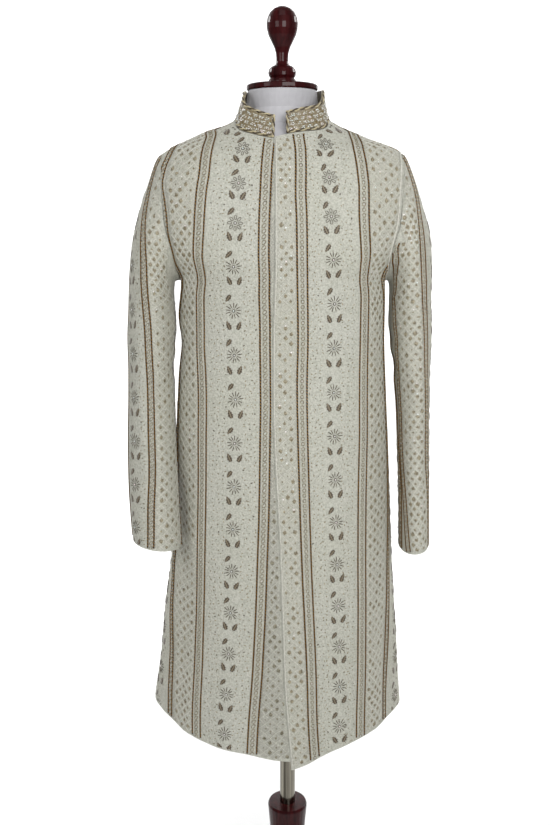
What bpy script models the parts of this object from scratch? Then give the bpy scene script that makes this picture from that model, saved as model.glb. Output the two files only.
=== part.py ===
"""Sherwani coat on a limbless dress form.

Metres, +Z up, the origin on the floor under the stand's axis. The coat faces -Y and
its wearer's left is +X. Every cloth piece is an open sheet, placed point by point on
one garment surface and then given its wall with Solidify. Neighbouring pieces keep a
seam gap, so each one is a solid of its own.
"""

import bisect
import math
from collections import namedtuple

import bmesh
import bpy
import numpy as np

# ---------------------------------------------------------------- driving dimensions
WALL = 0.0018            # cloth wall: embroidered silk on its interlining
COLLAR_WALL = 0.0026     # stiffened stand collar
SEAM = 0.0003            # gap between neighbouring pieces
SIDE_GAP = 0.0007        # side seam's gap on the outer face; it closes to SEAM inside
SHOULDER_GAP = 0.0010    # shoulder seam's gap on the outer face, likewise
FORM_SEAT = 0.0003       # gap between the coat's inner face and the form's shoulders
OFF_RIDGE_GAP = 0.0080   # more clearance in front of and behind the shoulder ridge
FORM_X = -0.0125         # the form's neck stands this far to the side of the pole
SHOULDER_Z = 1.4665      # shoulder point, where shoulder seam and armhole meet
UNDERARM_Z = 1.250       # lowest point of the armhole
ARMHOLE_DEPTH = 0.083    # half the armhole's width, front to back
NECK_SIDE_Z = 1.525      # shoulder seam's end at the neck
SHOULDER_MIDDLE_Z = 1.490
HEM_FRONT_Z = 0.410      # about where the front edges end, below and above
NECK_FRONT_Z = 1.488
LAP_RISE = 0.0030        # the over panel stands this far proud of the under panel
UNDER_EDGE_X = 0.024     # hidden free edge of the under panel
FORM_HALF_WIDTH = 0.196  # the form's arm ends
FORM_BOTTOM_Z = 0.860
NECK_TOP_Z = 1.5665
POLE_RADIUS = 0.0148
SOCKET_DEPTH = 0.060     # how far the pole reaches into the form and into the post
POST_TOP_Z = 0.232
BASE_HEIGHT = 0.032
NECK_RADIUS = 0.0585     # the form's neck under its cap

ARM_STEPS = 10           # grid steps along half an armhole
SIDE_STEPS = 13          # grid steps up a side seam
NECK_STEPS = 6           # grid steps along half a neckline
SHOULDER_STEPS = 6       # grid steps along a shoulder seam
ARMHOLE_SHARE = 0.70     # share of a panel's rows that lie below the armhole

# The garment's outer surface: level sections, each a superellipse with its own front
# and back depth. square is its exponent, shift moves it sideways, and form_gap is the
# clearance of the dress form under it, beyond the wall.
Section = namedtuple("Section", "height half_width front back square shift form_gap")
SECTIONS = tuple(Section(*row) for row in (
    (0.395, 0.2350, 0.1710, 0.1600, 2.20, -0.0080, 0.0300),
    (0.470, 0.2310, 0.1690, 0.1580, 2.20, -0.0072, 0.0300),
    (0.600, 0.2160, 0.1610, 0.1530, 2.25, -0.0020, 0.0300),
    (0.735, 0.2040, 0.1520, 0.1480, 2.30, 0.0000, 0.0260),
    (0.870, 0.1960, 0.1420, 0.1440, 2.35, 0.0000, 0.0200),
    (0.980, 0.1895, 0.1320, 0.1400, 2.40, 0.0000, 0.0160),
    (1.080, 0.1825, 0.1220, 0.1260, 2.45, 0.0005, 0.0110),
    (1.165, 0.1760, 0.1170, 0.1140, 2.50, 0.0028, 0.0080),
    (1.250, 0.1770, 0.1230, 0.1160, 2.55, 0.0020, 0.0070),
    (1.300, 0.2050, 0.1290, 0.1240, 2.60, 0.0000, 0.0060),
    (1.350, 0.2270, 0.1270, 0.1300, 2.60, 0.0000, 0.0050),
    (1.395, 0.2340, 0.1190, 0.1290, 2.60, 0.0000, 0.0035),
    (1.435, 0.2250, 0.1070, 0.1180, 2.55, 0.0000, FORM_SEAT),
    (1.4665, 0.1985, 0.0930, 0.1030, 2.45, 0.0000, FORM_SEAT),
    (1.490, 0.1380, 0.0790, 0.0880, 2.25, 0.0000, FORM_SEAT),
    (1.515, 0.0835, 0.0725, 0.0785, 2.10, 0.0000, 0.0095),
    (1.535, 0.0690, 0.0650, 0.0680, 2.00, 0.0000, 0.0055),
    (1.5665, 0.0607, 0.0607, 0.0607, 2.00, 0.0000, 0.0000),
))

# Hem height by angle round the body, 0 at the front and 90 at a side seam.
Edge = namedtuple("Edge", "angle right left")
HEM = tuple(Edge(*row) for row in (
    (-12.0, 0.4200, 0.3975),
    (0.0, 0.4230, 0.4005),
    (17.0, 0.4330, 0.4150),
    (35.0, 0.4410, 0.4370),
    (55.0, 0.4560, 0.4540),
    (75.0, 0.4740, 0.4660),
    (90.0, 0.4800, 0.4690),
    (135.0, 0.4680, 0.4640),
    (180.0, 0.4620, 0.4620),
))

# Neckline height by angle.
NECKLINE = tuple(Edge(*row) for row in (
    (-12.0, 1.4838, 1.4845),
    (5.0, 1.4845, 1.4905),
    (42.0, 1.4955, 1.4985),
    (66.0, 1.5135, 1.5135),
    (90.0, NECK_SIDE_Z, NECK_SIDE_Z),
    (135.0, 1.5270, 1.5270),
    (180.0, 1.5310, 1.5310),
))

# Free edge of the over panel: how far it lies from the neck's middle, by height.
Line = namedtuple("Line", "height across")
CLOSING = tuple(Line(*row) for row in (
    (0.395, 0.0178),
    (0.567, 0.0040),
    (0.785, -0.0034),
    (1.060, -0.0153),
    (1.160, -0.0153),
    (1.310, -0.0120),
    (1.500, -0.0128),
))

# Where the armhole seam lies across the front, by height.
ARMHOLE = tuple(Line(*row) for row in (
    (UNDERARM_Z, 0.1770),
    (1.290, 0.1810),
    (1.320, 0.1870),
    (1.350, 0.1940),
    (1.400, 0.1980),
    (1.440, 0.2000),
    (SHOULDER_Z, 0.1985),
))

# Largest folds: soft upright flutes. angle and height are the middle, turn and length
# the reach each way, lean the change of angle per metre of height, rise the height of
# a ridge, or the depth of a trough where negative.
Fold = namedtuple("Fold", "angle height turn length lean rise")
FOLDS = tuple(Fold(*row) for row in (
    (64.0, 0.560, 10.0, 0.260, -14.0, -0.0055),
    (80.0, 0.500, 8.0, 0.240, -10.0, 0.0040),
    (28.0, 0.480, 11.0, 0.220, 6.0, -0.0025),
    (-60.0, 0.540, 10.0, 0.280, 16.0, -0.0050),
    (-78.0, 0.500, 9.0, 0.220, 10.0, 0.0040),
    (-30.0, 0.500, 12.0, 0.200, 0.0, 0.0025),
    (108.0, 0.540, 10.0, 0.300, 8.0, -0.0050),
    (-112.0, 0.520, 9.0, 0.330, -8.0, -0.0055),
    (140.0, 0.500, 11.0, 0.340, 4.0, -0.0065),
    (-146.0, 0.520, 10.0, 0.300, -4.0, -0.0060),
    (162.0, 0.500, 9.0, 0.260, 0.0, 0.0045),
    (-168.0, 0.500, 9.0, 0.260, 0.0, 0.0040),
    (62.0, 1.270, 12.0, 0.060, -60.0, -0.0022),
    (-60.0, 1.275, 12.0, 0.060, 60.0, -0.0022),
    (150.0, 1.215, 16.0, 0.075, 0.0, -0.0030),
    (-150.0, 1.205, 16.0, 0.075, 0.0, -0.0030),
    (-90.0, 1.4920, 50.0, 0.022, 0.0, 0.0045),
    (-70.0, 0.830, 19.0, 0.190, 0.0, -0.0095),
    (-86.0, 1.190, 20.0, 0.060, 0.0, 0.0060),
    (-88.0, 0.640, 26.0, 0.130, 0.0, 0.0050),
    (88.0, 0.520, 26.0, 0.110, 0.0, -0.0032),
))

# Sleeve sections, from the sleeve head to the cuff. Each is an oval through its outer
# and its inner point, half_depth deep each way from mid_y.
Oval = namedtuple("Oval", "out_x out_z in_x in_z half_depth mid_y")
SLEEVE_RIGHT = tuple(Oval(*row) for row in (
    (0.2135, 1.4540, 0.1860, 1.2480, 0.0830, 0.000),
    (0.2290, 1.4130, 0.1885, 1.2390, 0.0820, -0.002),
    (0.2420, 1.3760, 0.1890, 1.2270, 0.0800, -0.005),
    (0.2560, 1.3220, 0.1880, 1.2100, 0.0775, -0.009),
    (0.2620, 1.2700, 0.1870, 1.1900, 0.0755, -0.014),
    (0.2645, 1.2100, 0.1865, 1.1600, 0.0730, -0.020),
    (0.2655, 1.1400, 0.1890, 1.1120, 0.0690, -0.029),
    (0.2660, 1.0600, 0.1890, 1.0450, 0.0640, -0.041),
    (0.2670, 0.9700, 0.1860, 0.9580, 0.0590, -0.060),
    (0.2650, 0.8900, 0.1815, 0.8800, 0.0530, -0.079),
    (0.2595, 0.8100, 0.1765, 0.7960, 0.0480, -0.096),
))
SLEEVE_LEFT = tuple(Oval(*row) for row in (
    (0.2110, 1.4570, 0.1860, 1.2480, 0.0830, 0.000),
    (0.2270, 1.4190, 0.1885, 1.2390, 0.0820, -0.002),
    (0.2370, 1.3870, 0.1890, 1.2280, 0.0800, -0.005),
    (0.2520, 1.3400, 0.1880, 1.2140, 0.0775, -0.009),
    (0.2575, 1.2900, 0.1875, 1.1980, 0.0750, -0.013),
    (0.2580, 1.2250, 0.1885, 1.1720, 0.0730, -0.018),
    (0.2580, 1.1450, 0.1935, 1.1200, 0.0700, -0.026),
    (0.2575, 1.0600, 0.2010, 1.0450, 0.0670, -0.036),
    (0.2580, 0.9700, 0.2040, 0.9620, 0.0630, -0.047),
    (0.2590, 0.8830, 0.2070, 0.8780, 0.0590, -0.058),
    (0.2595, 0.7930, 0.2090, 0.7850, 0.0560, -0.068),
))
SLEEVE_STATIONS = (0, 0.5, 1, 1.5, 2, 3, 4, 5, 6, 6.5, 7, 7.5, 8, 8.5, 9, 9.5, 10, 10.5, 11)

# Largest creases of a sleeve: station and angle round it (0 outer, 90 front,
# 180 inner), their reach each way, and the rise, or depth where negative.
Crease = namedtuple("Crease", "station angle length turn rise")
CREASES = tuple(Crease(*row) for row in (
    (7.2, 180.0, 0.45, 40.0, -0.0040),
    (6.4, 170.0, 0.40, 45.0, -0.0030),
    (7.8, 120.0, 0.60, 30.0, -0.0030),
    (6.8, 20.0, 0.70, 35.0, 0.0020),
    (9.2, 60.0, 0.90, 28.0, -0.0025),
    (3.2, 130.0, 0.80, 30.0, -0.0030),
    (3.2, 230.0, 0.80, 30.0, -0.0030),
    (9.6, 240.0, 1.00, 30.0, -0.0025),
))

# Stand collar: its height by angle and how far its top leans in, on the wearer's right
# and left, and then the ends of the front gap.
Band = namedtuple("Band", "angle height_right height_left lean_right lean_left")
COLLAR = tuple(Band(*row) for row in (
    (0.0, 0.0350, 0.0350, 0.0075, 0.0075),
    (45.0, 0.0405, 0.0400, 0.0120, 0.0090),
    (67.0, 0.0465, 0.0460, 0.0160, 0.0100),
    (90.0, 0.0390, 0.0420, 0.0102, 0.0060),
    (135.0, 0.0400, 0.0415, 0.0045, 0.0030),
    (180.0, 0.0385, 0.0385, 0.0015, 0.0015),
))
COLLAR_END_LEFT_X = 0.0078
COLLAR_END_RIGHT_X = -0.0142
COLLAR_STEPS = 30
CORD = 0.0012            # the edging cords stand this far proud of the collar
CollarRow = namedtuple("CollarRow", "share bulge")
COLLAR_ROWS = tuple(CollarRow(*row) for row in (
    (0.0, 0.0), (0.05, CORD), (0.13, CORD), (0.19, 0.0), (0.5, 0.0004),
    (0.81, 0.0), (0.87, CORD), (0.95, CORD), (1.0, 0.0),
))

# Turned outlines, each a row of radius and height above its own foot.
CAP_OUTLINE = ((0.0585, 0.0), (0.0600, 0.0020), (0.0600, 0.0075), (0.0575, 0.0095),
               (0.0520, 0.0105))
CAP_HEIGHT = 0.0115
FINIAL_OUTLINE = ((0.0243, 0.0), (0.0240, 0.0030), (0.0222, 0.0060), (0.0200, 0.0085),
                  (0.0226, 0.0120), (0.0234, 0.0170), (0.0222, 0.0225), (0.0180, 0.0265),
                  (0.0118, 0.0295), (0.0100, 0.0345), (0.0100, 0.0410), (0.0106, 0.0480),
                  (0.0132, 0.0570), (0.0178, 0.0660), (0.0228, 0.0760), (0.0256, 0.0860),
                  (0.0262, 0.0950), (0.0246, 0.1040), (0.0206, 0.1120), (0.0140, 0.1180),
                  (0.0070, 0.1212))
FINIAL_HEIGHT = 0.1222
POST_OUTLINE = ((0.0520, 0.0), (0.0520, 0.0080), (0.0440, 0.0130), (0.0330, 0.0200),
                (0.0285, 0.0320), (0.0275, 0.0520), (0.0290, 0.0780), (0.0320, 0.1120),
                (0.0350, 0.1550), (0.0378, 0.1880), (0.0380, 0.1940), (0.0362, 0.1985))
BASE_OUTLINE = ((0.1900, 0.0), (0.1950, 0.0050), (0.1950, 0.0160), (0.1900, 0.0205),
                (0.1780, 0.0225), (0.1100, 0.0280), (0.0700, 0.0310), (0.0540, 0.0320))


# ------------------------------------------------------------------ reading the tables
def smooth(xs, ys):
    """A smooth curve through the points that doesn't overshoot them, as a function."""
    steps = [b - a for a, b in zip(xs, xs[1:])]
    slopes = [(b - a) / step for a, b, step in zip(ys, ys[1:], steps)]
    tangents = [slopes[0]]
    for before, after in zip(slopes, slopes[1:]):
        tangents.append(2 * before * after / (before + after) if before * after > 0 else 0.0)
    tangents.append(slopes[-1])

    def value(x):
        x = min(max(x, xs[0]), xs[-1])
        i = min(max(bisect.bisect_right(xs, x) - 1, 0), len(steps) - 1)
        t = (x - xs[i]) / steps[i]
        return (ys[i] * (1 + 2 * t) * (1 - t) ** 2 + tangents[i] * steps[i] * t * (1 - t) ** 2
                + ys[i + 1] * t * t * (3 - 2 * t) + tangents[i + 1] * steps[i] * t * t * (t - 1))

    return value


def curves(table):
    """A smooth curve for each column of a table against its first column."""
    columns = list(zip(*table))
    return {name: smooth(columns[0], values)
            for name, values in zip(table[0]._fields[1:], columns[1:])}


SECTION_CURVES = curves(SECTIONS)
HEM_CURVES = curves(HEM)
NECKLINE_CURVES = curves(NECKLINE)
CLOSING_CURVES = curves(CLOSING)
ARMHOLE_CURVES = curves(ARMHOLE)
COLLAR_CURVES = curves(COLLAR)


def section(name, z):
    """A column of the section table at height z."""
    return SECTION_CURVES[name](z)


def edge_height(edge_curves, angle, panel):
    """Height of the hem or the neckline at an angle; left angles are positive."""
    if panel == "back":
        return edge_curves["left" if angle > 0 else "right"](abs(angle))
    return edge_curves[panel](angle if panel == "left" else -angle)


def hem_height(angle, panel):
    """Hem height at an angle."""
    return edge_height(HEM_CURVES, angle, panel)


def neck_height(angle, panel):
    """Neckline height at an angle."""
    return edge_height(NECKLINE_CURVES, angle, panel)


# ------------------------------------------------------------------ garment surface
def bell(x):
    """A smooth bump, 1 at 0 and 0 beyond 1."""
    return (math.cos(math.pi * min(abs(x), 1.0)) + 1) / 2


def fold_rise(angle, z):
    """Sum of the folds at a point of the surface."""
    rise = 0.0
    for fold in FOLDS:
        up = z - fold.height
        away = (angle - fold.angle - fold.lean * up + 180) % 360 - 180
        rise += fold.rise * bell(away / fold.turn) * bell(up / fold.length)
    return rise


def level_point(angle, z):
    """Point of the plain section at an angle from the front, without folds."""
    a = section("half_width", z)
    turn = math.radians(angle)
    sine, cosine = math.sin(turn), math.cos(turn)
    depth = section("front", z) if cosine > 0 else section("back", z)
    n = section("square", z)
    reach = ((abs(sine) / a) ** n + (abs(cosine) / depth) ** n) ** (-1 / n)
    return np.array((FORM_X + section("shift", z) + reach * sine, -reach * cosine, z))


def plain_normal(angle, z):
    """Outward direction of the plain surface."""
    turn_step, height_step = 0.4, 0.0015
    across = level_point(angle + turn_step, z) - level_point(angle - turn_step, z)
    up = level_point(angle, z + height_step) - level_point(angle, z - height_step)
    normal = np.cross(across, up)
    return normal / np.linalg.norm(normal)


def garment_point(angle, z, lift=0.0):
    """Point of the coat's outer face, folds included, moved out by lift."""
    return level_point(angle, z) + plain_normal(angle, z) * (fold_rise(angle, z) + lift)


def angle_at(across, z, back=False):
    """Angle of the point of the section that lies this far from the section's middle."""
    low, high = (180.0, 90.0) if back else (0.0, 90.0)
    target = abs(across)
    halvings = 40
    for _ in range(halvings):
        middle = (low + high) / 2
        if abs(level_point(middle, z)[0] - FORM_X - section("shift", z)) < target:
            low = middle
        else:
            high = middle
    return math.copysign((low + high) / 2, across)


def armhole_place(share, back=False):
    """Angle and height on the armhole, share 0 at the shoulder and 1 under the arm."""
    middle, reach = (SHOULDER_Z + UNDERARM_Z) / 2, (SHOULDER_Z - UNDERARM_Z) / 2
    z = middle + reach * math.cos(math.pi * share)
    if share <= 0 or share >= 1:
        return 90.0, z
    n = section("square", z)
    deep = ARMHOLE_DEPTH * math.sin(math.pi * share) / section("back" if back else "front", z)
    rounded = section("half_width", z) * max(0.0, 1 - deep ** n) ** (1 / n)
    return angle_at(min(ARMHOLE_CURVES["across"](z), rounded), z, back), z


# ------------------------------------------------------------------ meshes
def sheet(name, across, along, place, closed=False, wall=None):
    """A grid with place(column share, row share) for its points, thickened by wall."""
    bm = bmesh.new()
    bmesh.ops.create_grid(bm, x_segments=across, y_segments=along, size=1.0)
    for vert in bm.verts:
        i = round((vert.co.x + 1) / 2 * across)
        j = round((vert.co.y + 1) / 2 * along)
        vert.co = place(i % across if closed else i, j)
    bmesh.ops.remove_doubles(bm, verts=bm.verts, dist=0.000001)
    mesh = bpy.data.meshes.new(name)
    bm.to_mesh(mesh)
    bm.free()
    piece = bpy.data.objects.new(name, mesh)
    COAT.objects.link(piece)
    if wall:
        solidify = piece.modifiers.new("wall", "SOLIDIFY")
        solidify.thickness = wall
        solidify.offset = -1.0
        solidify.use_even_offset = True
    mesh.shade_smooth()
    mesh.set_sharp_from_angle(angle=math.radians(50))
    return piece


def turned(name, outline, foot_z, height, steps, bore=None, at_x=0.0):
    """A turned solid: the outline run down its outer side, with an optional top bore."""
    points = [(0.0, height)] if bore is None else [
        (0.0, height - bore[1]), (bore[0], height - bore[1]), (bore[0], height)]
    points += [(radius, z) for radius, z in reversed(outline)]
    points.append((0.0, 0.0))
    mesh = bpy.data.meshes.new(name)
    mesh.from_pydata([(radius, 0.0, z) for radius, z in points],
                     [(i, i + 1) for i in range(len(points) - 1)], [])
    piece = bpy.data.objects.new(name, mesh)
    piece.location = (at_x, 0.0, foot_z)
    COAT.objects.link(piece)
    screw = piece.modifiers.new("turning", "SCREW")
    screw.steps = screw.render_steps = steps
    screw.use_merge_vertices = True
    screw.merge_threshold = 0.00001
    screw.use_smooth_shade = True
    return piece


def finish(piece, material):
    """Give the piece its material."""
    piece.data.materials.append(material)
    return piece


def make_material(name, colour, roughness, metallic=0.0, coat=0.0):
    """A Principled material."""
    material = bpy.data.materials.new(name)
    material.use_nodes = True
    shader = material.node_tree.nodes["Principled BSDF"]
    shader.inputs["Base Color"].default_value = (*colour, 1.0)
    shader.inputs["Roughness"].default_value = roughness
    shader.inputs["Metallic"].default_value = metallic
    shader.inputs["Coat Weight"].default_value = coat
    return material


# ------------------------------------------------------------------ fronts and back
def lap_lift(angle, z):
    """How far the over panel stands proud beside its free edge."""
    reach = level_point(angle, z)[0] - FORM_X
    flat, fade = 0.034, 0.030
    return LAP_RISE * bell(max(0.0, reach - flat) / fade)


def seam_slack(gap, reach, panel):
    """Half a seam's gap as an angle at this reach, away from the seam on either side."""
    return math.degrees(gap / 2 / reach) * (1 if panel == "back" else -1)


def side_border(panel, side):
    """A panel's side seam, then its armhole: angle and height for each row."""
    back = panel == "back"
    slack = seam_slack(SIDE_GAP, section("half_width", UNDERARM_Z), panel)
    low = hem_height(side * 90.0, "left" if side > 0 else "right")

    def edge(row):
        if row <= SIDE_STEPS:
            return side * (90.0 + slack), low + (UNDERARM_Z - low) * row / SIDE_STEPS
        angle, z = armhole_place(1 - (row - SIDE_STEPS) / ARM_STEPS, back)
        angle = max(angle, 90.0 + slack) if back else min(angle, 90.0 + slack)
        return side * angle, z

    return edge


def top_border(panel, side, index):
    """Neckline, then shoulder seam: angle and height, index 0 at the panel's middle."""
    direction = 1 if side > 0 else -1
    slack = seam_slack(SHOULDER_GAP, section("half_width", SHOULDER_MIDDLE_Z), panel)
    if index <= NECK_STEPS:
        share = index / NECK_STEPS
        if panel == "back":
            angle = direction * (180.0 + (90.0 + slack - 180.0) * share)
            return angle, neck_height(angle, "back")
        z_start = neck_height(0.0, panel)
        start = middle_edge_angle(panel, z_start)
        angle = start + (direction * (90.0 + slack) - start) * share
        return angle, neck_height(angle, panel)
    share = (index - NECK_STEPS) / SHOULDER_STEPS
    return direction * (90.0 + slack), NECK_SIDE_Z + (SHOULDER_Z - NECK_SIDE_Z) * share


def middle_edge_angle(panel, z):
    """Angle of a front panel's free edge at a height."""
    if panel == "left":
        across = CLOSING_CURVES["across"](z)
    else:
        across = UNDER_EDGE_X
    return angle_at(across - section("shift", z), z)


def row_share(j, rows):
    """Share up a panel of a row: the armhole's rows begin at ARMHOLE_SHARE."""
    if j <= SIDE_STEPS:
        return ARMHOLE_SHARE * j / SIDE_STEPS
    return ARMHOLE_SHARE + (1 - ARMHOLE_SHARE) * (j - SIDE_STEPS) / (rows - SIDE_STEPS)


def between(u, v, middle, side, low, top, corners):
    """Angle and height inside a panel: straight rows, bent to its top and its hem.

    corners are the ends of the hem and of the top edge: middle low, side low,
    middle high, side high.
    """
    top_pull = max(0.0, (v - ARMHOLE_SHARE) / (1 - ARMHOLE_SHARE)) ** 1.5
    low_pull = (1 - v) ** 3
    place = []
    for k in (0, 1):
        row = (1 - u) * middle[k] + u * side[k]
        low_bend = low[k] - (1 - u) * corners[0][k] - u * corners[1][k]
        top_bend = top[k] - (1 - u) * corners[2][k] - u * corners[3][k]
        place.append(row + low_pull * low_bend + top_pull * top_bend)
    return place


def front_panel(name, panel, material):
    """One front: free edge, hem, side seam with armhole, neckline with shoulder seam."""
    side = 1 if panel == "left" else -1
    columns = NECK_STEPS + SHOULDER_STEPS
    rows = SIDE_STEPS + ARM_STEPS
    side_edge = side_border(panel, side)
    low = hem_height(middle_edge_angle(panel, HEM_FRONT_Z), panel)
    high = neck_height(middle_edge_angle(panel, NECK_FRONT_Z), panel)

    def free_edge(v):
        z = low + (high - low) * v
        return middle_edge_angle(panel, z), z

    first = middle_edge_angle(panel, low)
    corners = (free_edge(0), side_edge(0), free_edge(1), side_edge(rows))

    def place(i, j):
        i = i if side > 0 else columns - i
        u, v = i / columns, row_share(j, rows)
        hem_angle = first + (corners[1][0] - first) * u
        hem = (hem_angle, hem_height(hem_angle, panel))
        angle, z = between(u, v, free_edge(v), side_edge(j), hem,
                           top_border(panel, side, i), corners)
        return garment_point(angle, z, lap_lift(angle, z) if panel == "left" else 0.0)

    return finish(sheet(name, columns, rows, place, wall=WALL), material)


def back_panel(name, material):
    """The back, both side seams and armholes, neckline between two shoulder seams."""
    half = NECK_STEPS + SHOULDER_STEPS
    rows = SIDE_STEPS + ARM_STEPS
    edges = {1: side_border("back", 1), -1: side_border("back", -1)}
    low, high = hem_height(180.0, "back"), neck_height(180.0, "back")

    def place(i, j):
        side = 1 if i <= half else -1
        from_middle = half - i if side > 0 else i - half
        u, v = from_middle / half, row_share(j, rows)
        middle = (side * 180.0, low + (high - low) * v)
        corners = ((side * 180.0, low), edges[side](0), (side * 180.0, high), edges[side](rows))
        hem_angle = side * 180.0 + (corners[1][0] - side * 180.0) * u
        hem = (hem_angle, hem_height(hem_angle, "back"))
        angle, z = between(u, v, middle, edges[side](j), hem,
                           top_border("back", side, from_middle), corners)
        return garment_point(angle, z)

    return finish(sheet(name, 2 * half, rows, place, wall=WALL), material)


# ------------------------------------------------------------------ sleeves
def sleeve(name, side, table, material):
    """A sleeve: from the armhole through oval sections to the open cuff."""
    around = 2 * ARM_STEPS
    armhole_middle = np.array((FORM_X + side * ARMHOLE_CURVES["across"](SHOULDER_Z), 0.0,
                               (SHOULDER_Z + UNDERARM_Z) / 2))
    rings = []
    for oval in table:
        outer = np.array((oval.out_x, oval.mid_y, oval.out_z))
        inner = np.array((oval.in_x, oval.mid_y, oval.in_z))
        ring = []
        for k in range(around):
            turn = 2 * math.pi * k / around
            point = (outer + inner) / 2 + (outer - inner) / 2 * math.cos(turn)
            point[1] -= oval.half_depth * math.sin(turn)
            point[0] = FORM_X + side * point[0]
            ring.append(point)
        rings.append(ring)
    head = []
    for k in range(around):
        back = k > ARM_STEPS
        share = (k if not back else around - k) / ARM_STEPS
        angle, z = armhole_place(share, back)
        point = garment_point(side * angle, z)
        normal = plain_normal(side * angle, z)
        inward = armhole_middle - point
        inward -= normal * inward.dot(normal)
        inward /= np.linalg.norm(inward)
        run = rings[0][k] - point
        run /= np.linalg.norm(run)
        slip = 2 * SEAM + WALL * max(0.0, -run.dot(normal))
        head.append(point + inward * slip + normal * (WALL * max(0.0, run.dot(normal))))
    stations = [head] + rings

    def at_station(k, station):
        """Smooth curve through one point of every ring."""
        index = min(int(station), len(stations) - 2)
        t = station - index
        before = stations[max(index - 1, 0)][k]
        start, end = stations[index][k], stations[index + 1][k]
        after = stations[min(index + 2, len(stations) - 1)][k]
        run_in, run_out = (end - before) / 2, (after - start) / 2
        return (start * (1 + 2 * t) * (1 - t) ** 2 + run_in * t * (1 - t) ** 2
                + end * t * t * (3 - 2 * t) + run_out * t * t * (t - 1))

    def place(i, j):
        k = i if side > 0 else (around - i) % around
        station = SLEEVE_STATIONS[len(SLEEVE_STATIONS) - 1 - j]
        point = at_station(k, station)
        middle = sum(at_station(n, station) for n in range(0, around, 5)) / 4
        outward = point - middle
        outward /= np.linalg.norm(outward)
        turn = 360.0 * k / around
        rise = sum(crease.rise * bell((station - crease.station) / crease.length)
                   * bell(((turn - crease.angle + 180) % 360 - 180) / crease.turn)
                   for crease in CREASES)
        return point + outward * rise

    return finish(sheet(name, around, len(SLEEVE_STATIONS) - 1, place, closed=True, wall=WALL),
                  material)


# ------------------------------------------------------------------ collar
def collar(name, material):
    """Stand collar: a band that follows the neckline and leans in, with rolled edges."""
    def neck_place(angle):
        """Point of the neckline under the collar."""
        angle = (angle + 180) % 360 - 180
        panel = "back" if abs(angle) > 90 else ("left" if angle > 0 else "right")
        z = neck_height(angle, panel)
        lift = lap_lift(angle, z) if angle > 0 and panel == "left" else 0.0
        return garment_point(angle, z, lift)

    start = angle_at(COLLAR_END_LEFT_X, NECK_FRONT_Z)
    end = 360.0 + angle_at(COLLAR_END_RIGHT_X, NECK_FRONT_Z)
    inset = SEAM + 0.0005    # the band's foot clears the neckline's straight chords

    def place(i, j):
        angle = start + (end - start) * i / COLLAR_STEPS
        foot = neck_place(angle)
        folded = (angle + 180) % 360 - 180
        side = "left" if folded > 0 else "right"
        height = COLLAR_CURVES["height_" + side](abs(folded))
        lean = COLLAR_CURVES["lean_" + side](abs(folded))
        outward = np.array((math.sin(math.radians(angle)), -math.cos(math.radians(angle)), 0.0))
        share, bulge = COLLAR_ROWS[j]
        return (foot + np.array((0.0, 0.0, inset + height * share))
                + outward * (bulge - inset - lean * share))

    return finish(sheet(name, COLLAR_STEPS, len(COLLAR_ROWS) - 1, place, wall=COLLAR_WALL),
                  material)


# ------------------------------------------------------------------ dress form and stand
def form_body(name, material):
    """Torso and neck inside the coat, with flat arm ends and a socket for the pole."""
    around = 32
    levels = (0.87, 0.93, 1.0, 1.08, 1.16, 1.24, 1.305, 1.35, 1.395, 1.435, 1.466, 1.48,
              1.493, 1.506, 1.52, 1.54)

    def clear_point(angle, z):
        """The garment surface moved in by the wall and the form's clearance.

        Beyond bend the torso rounds off towards its flat arm ends.
        """
        off_ridge = min(1.0, 3 * abs(math.cos(math.radians(angle))))
        inner = WALL + section("form_gap", z) + OFF_RIDGE_GAP * off_ridge
        point = level_point(angle, z) - plain_normal(angle, z) * inner
        bend = 0.170
        reach = abs(point[0] - FORM_X)
        if reach > bend:
            room = FORM_HALF_WIDTH - bend
            reach = bend + room * math.tanh((reach - bend) / room)
            point[0] = FORM_X + math.copysign(reach, point[0] - FORM_X)
        return point

    def ring(radius, z, at_x):
        return lambda angle: np.array((at_x + radius * math.sin(math.radians(angle)),
                                       -radius * math.cos(math.radians(angle)), z))

    def shrunk(z, share, drop):
        return lambda angle: (clear_point(angle, z) * np.array((share, share, 1.0))
                              + np.array((0.0, 0.0, -drop)))

    bore = POLE_RADIUS + SEAM
    socket_z = FORM_BOTTOM_Z + SOCKET_DEPTH
    neck_z = NECK_TOP_Z - SEAM
    rounding = 0.003
    rings = [ring(0.0, socket_z, 0.0), ring(bore, socket_z, 0.0), ring(bore, FORM_BOTTOM_Z, 0.0),
             shrunk(levels[0], 0.97, levels[0] - FORM_BOTTOM_Z)]
    rings += [lambda angle, z=z: clear_point(angle, z) for z in levels]
    rings += [ring(NECK_RADIUS, neck_z - rounding, FORM_X),
              ring(NECK_RADIUS - rounding / 2, neck_z, FORM_X), ring(0.0, neck_z, FORM_X)]

    def place(i, j):
        return rings[j](-180.0 + 360.0 * i / around)

    return finish(sheet(name, around, len(rings) - 1, place, closed=True), material)


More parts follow.
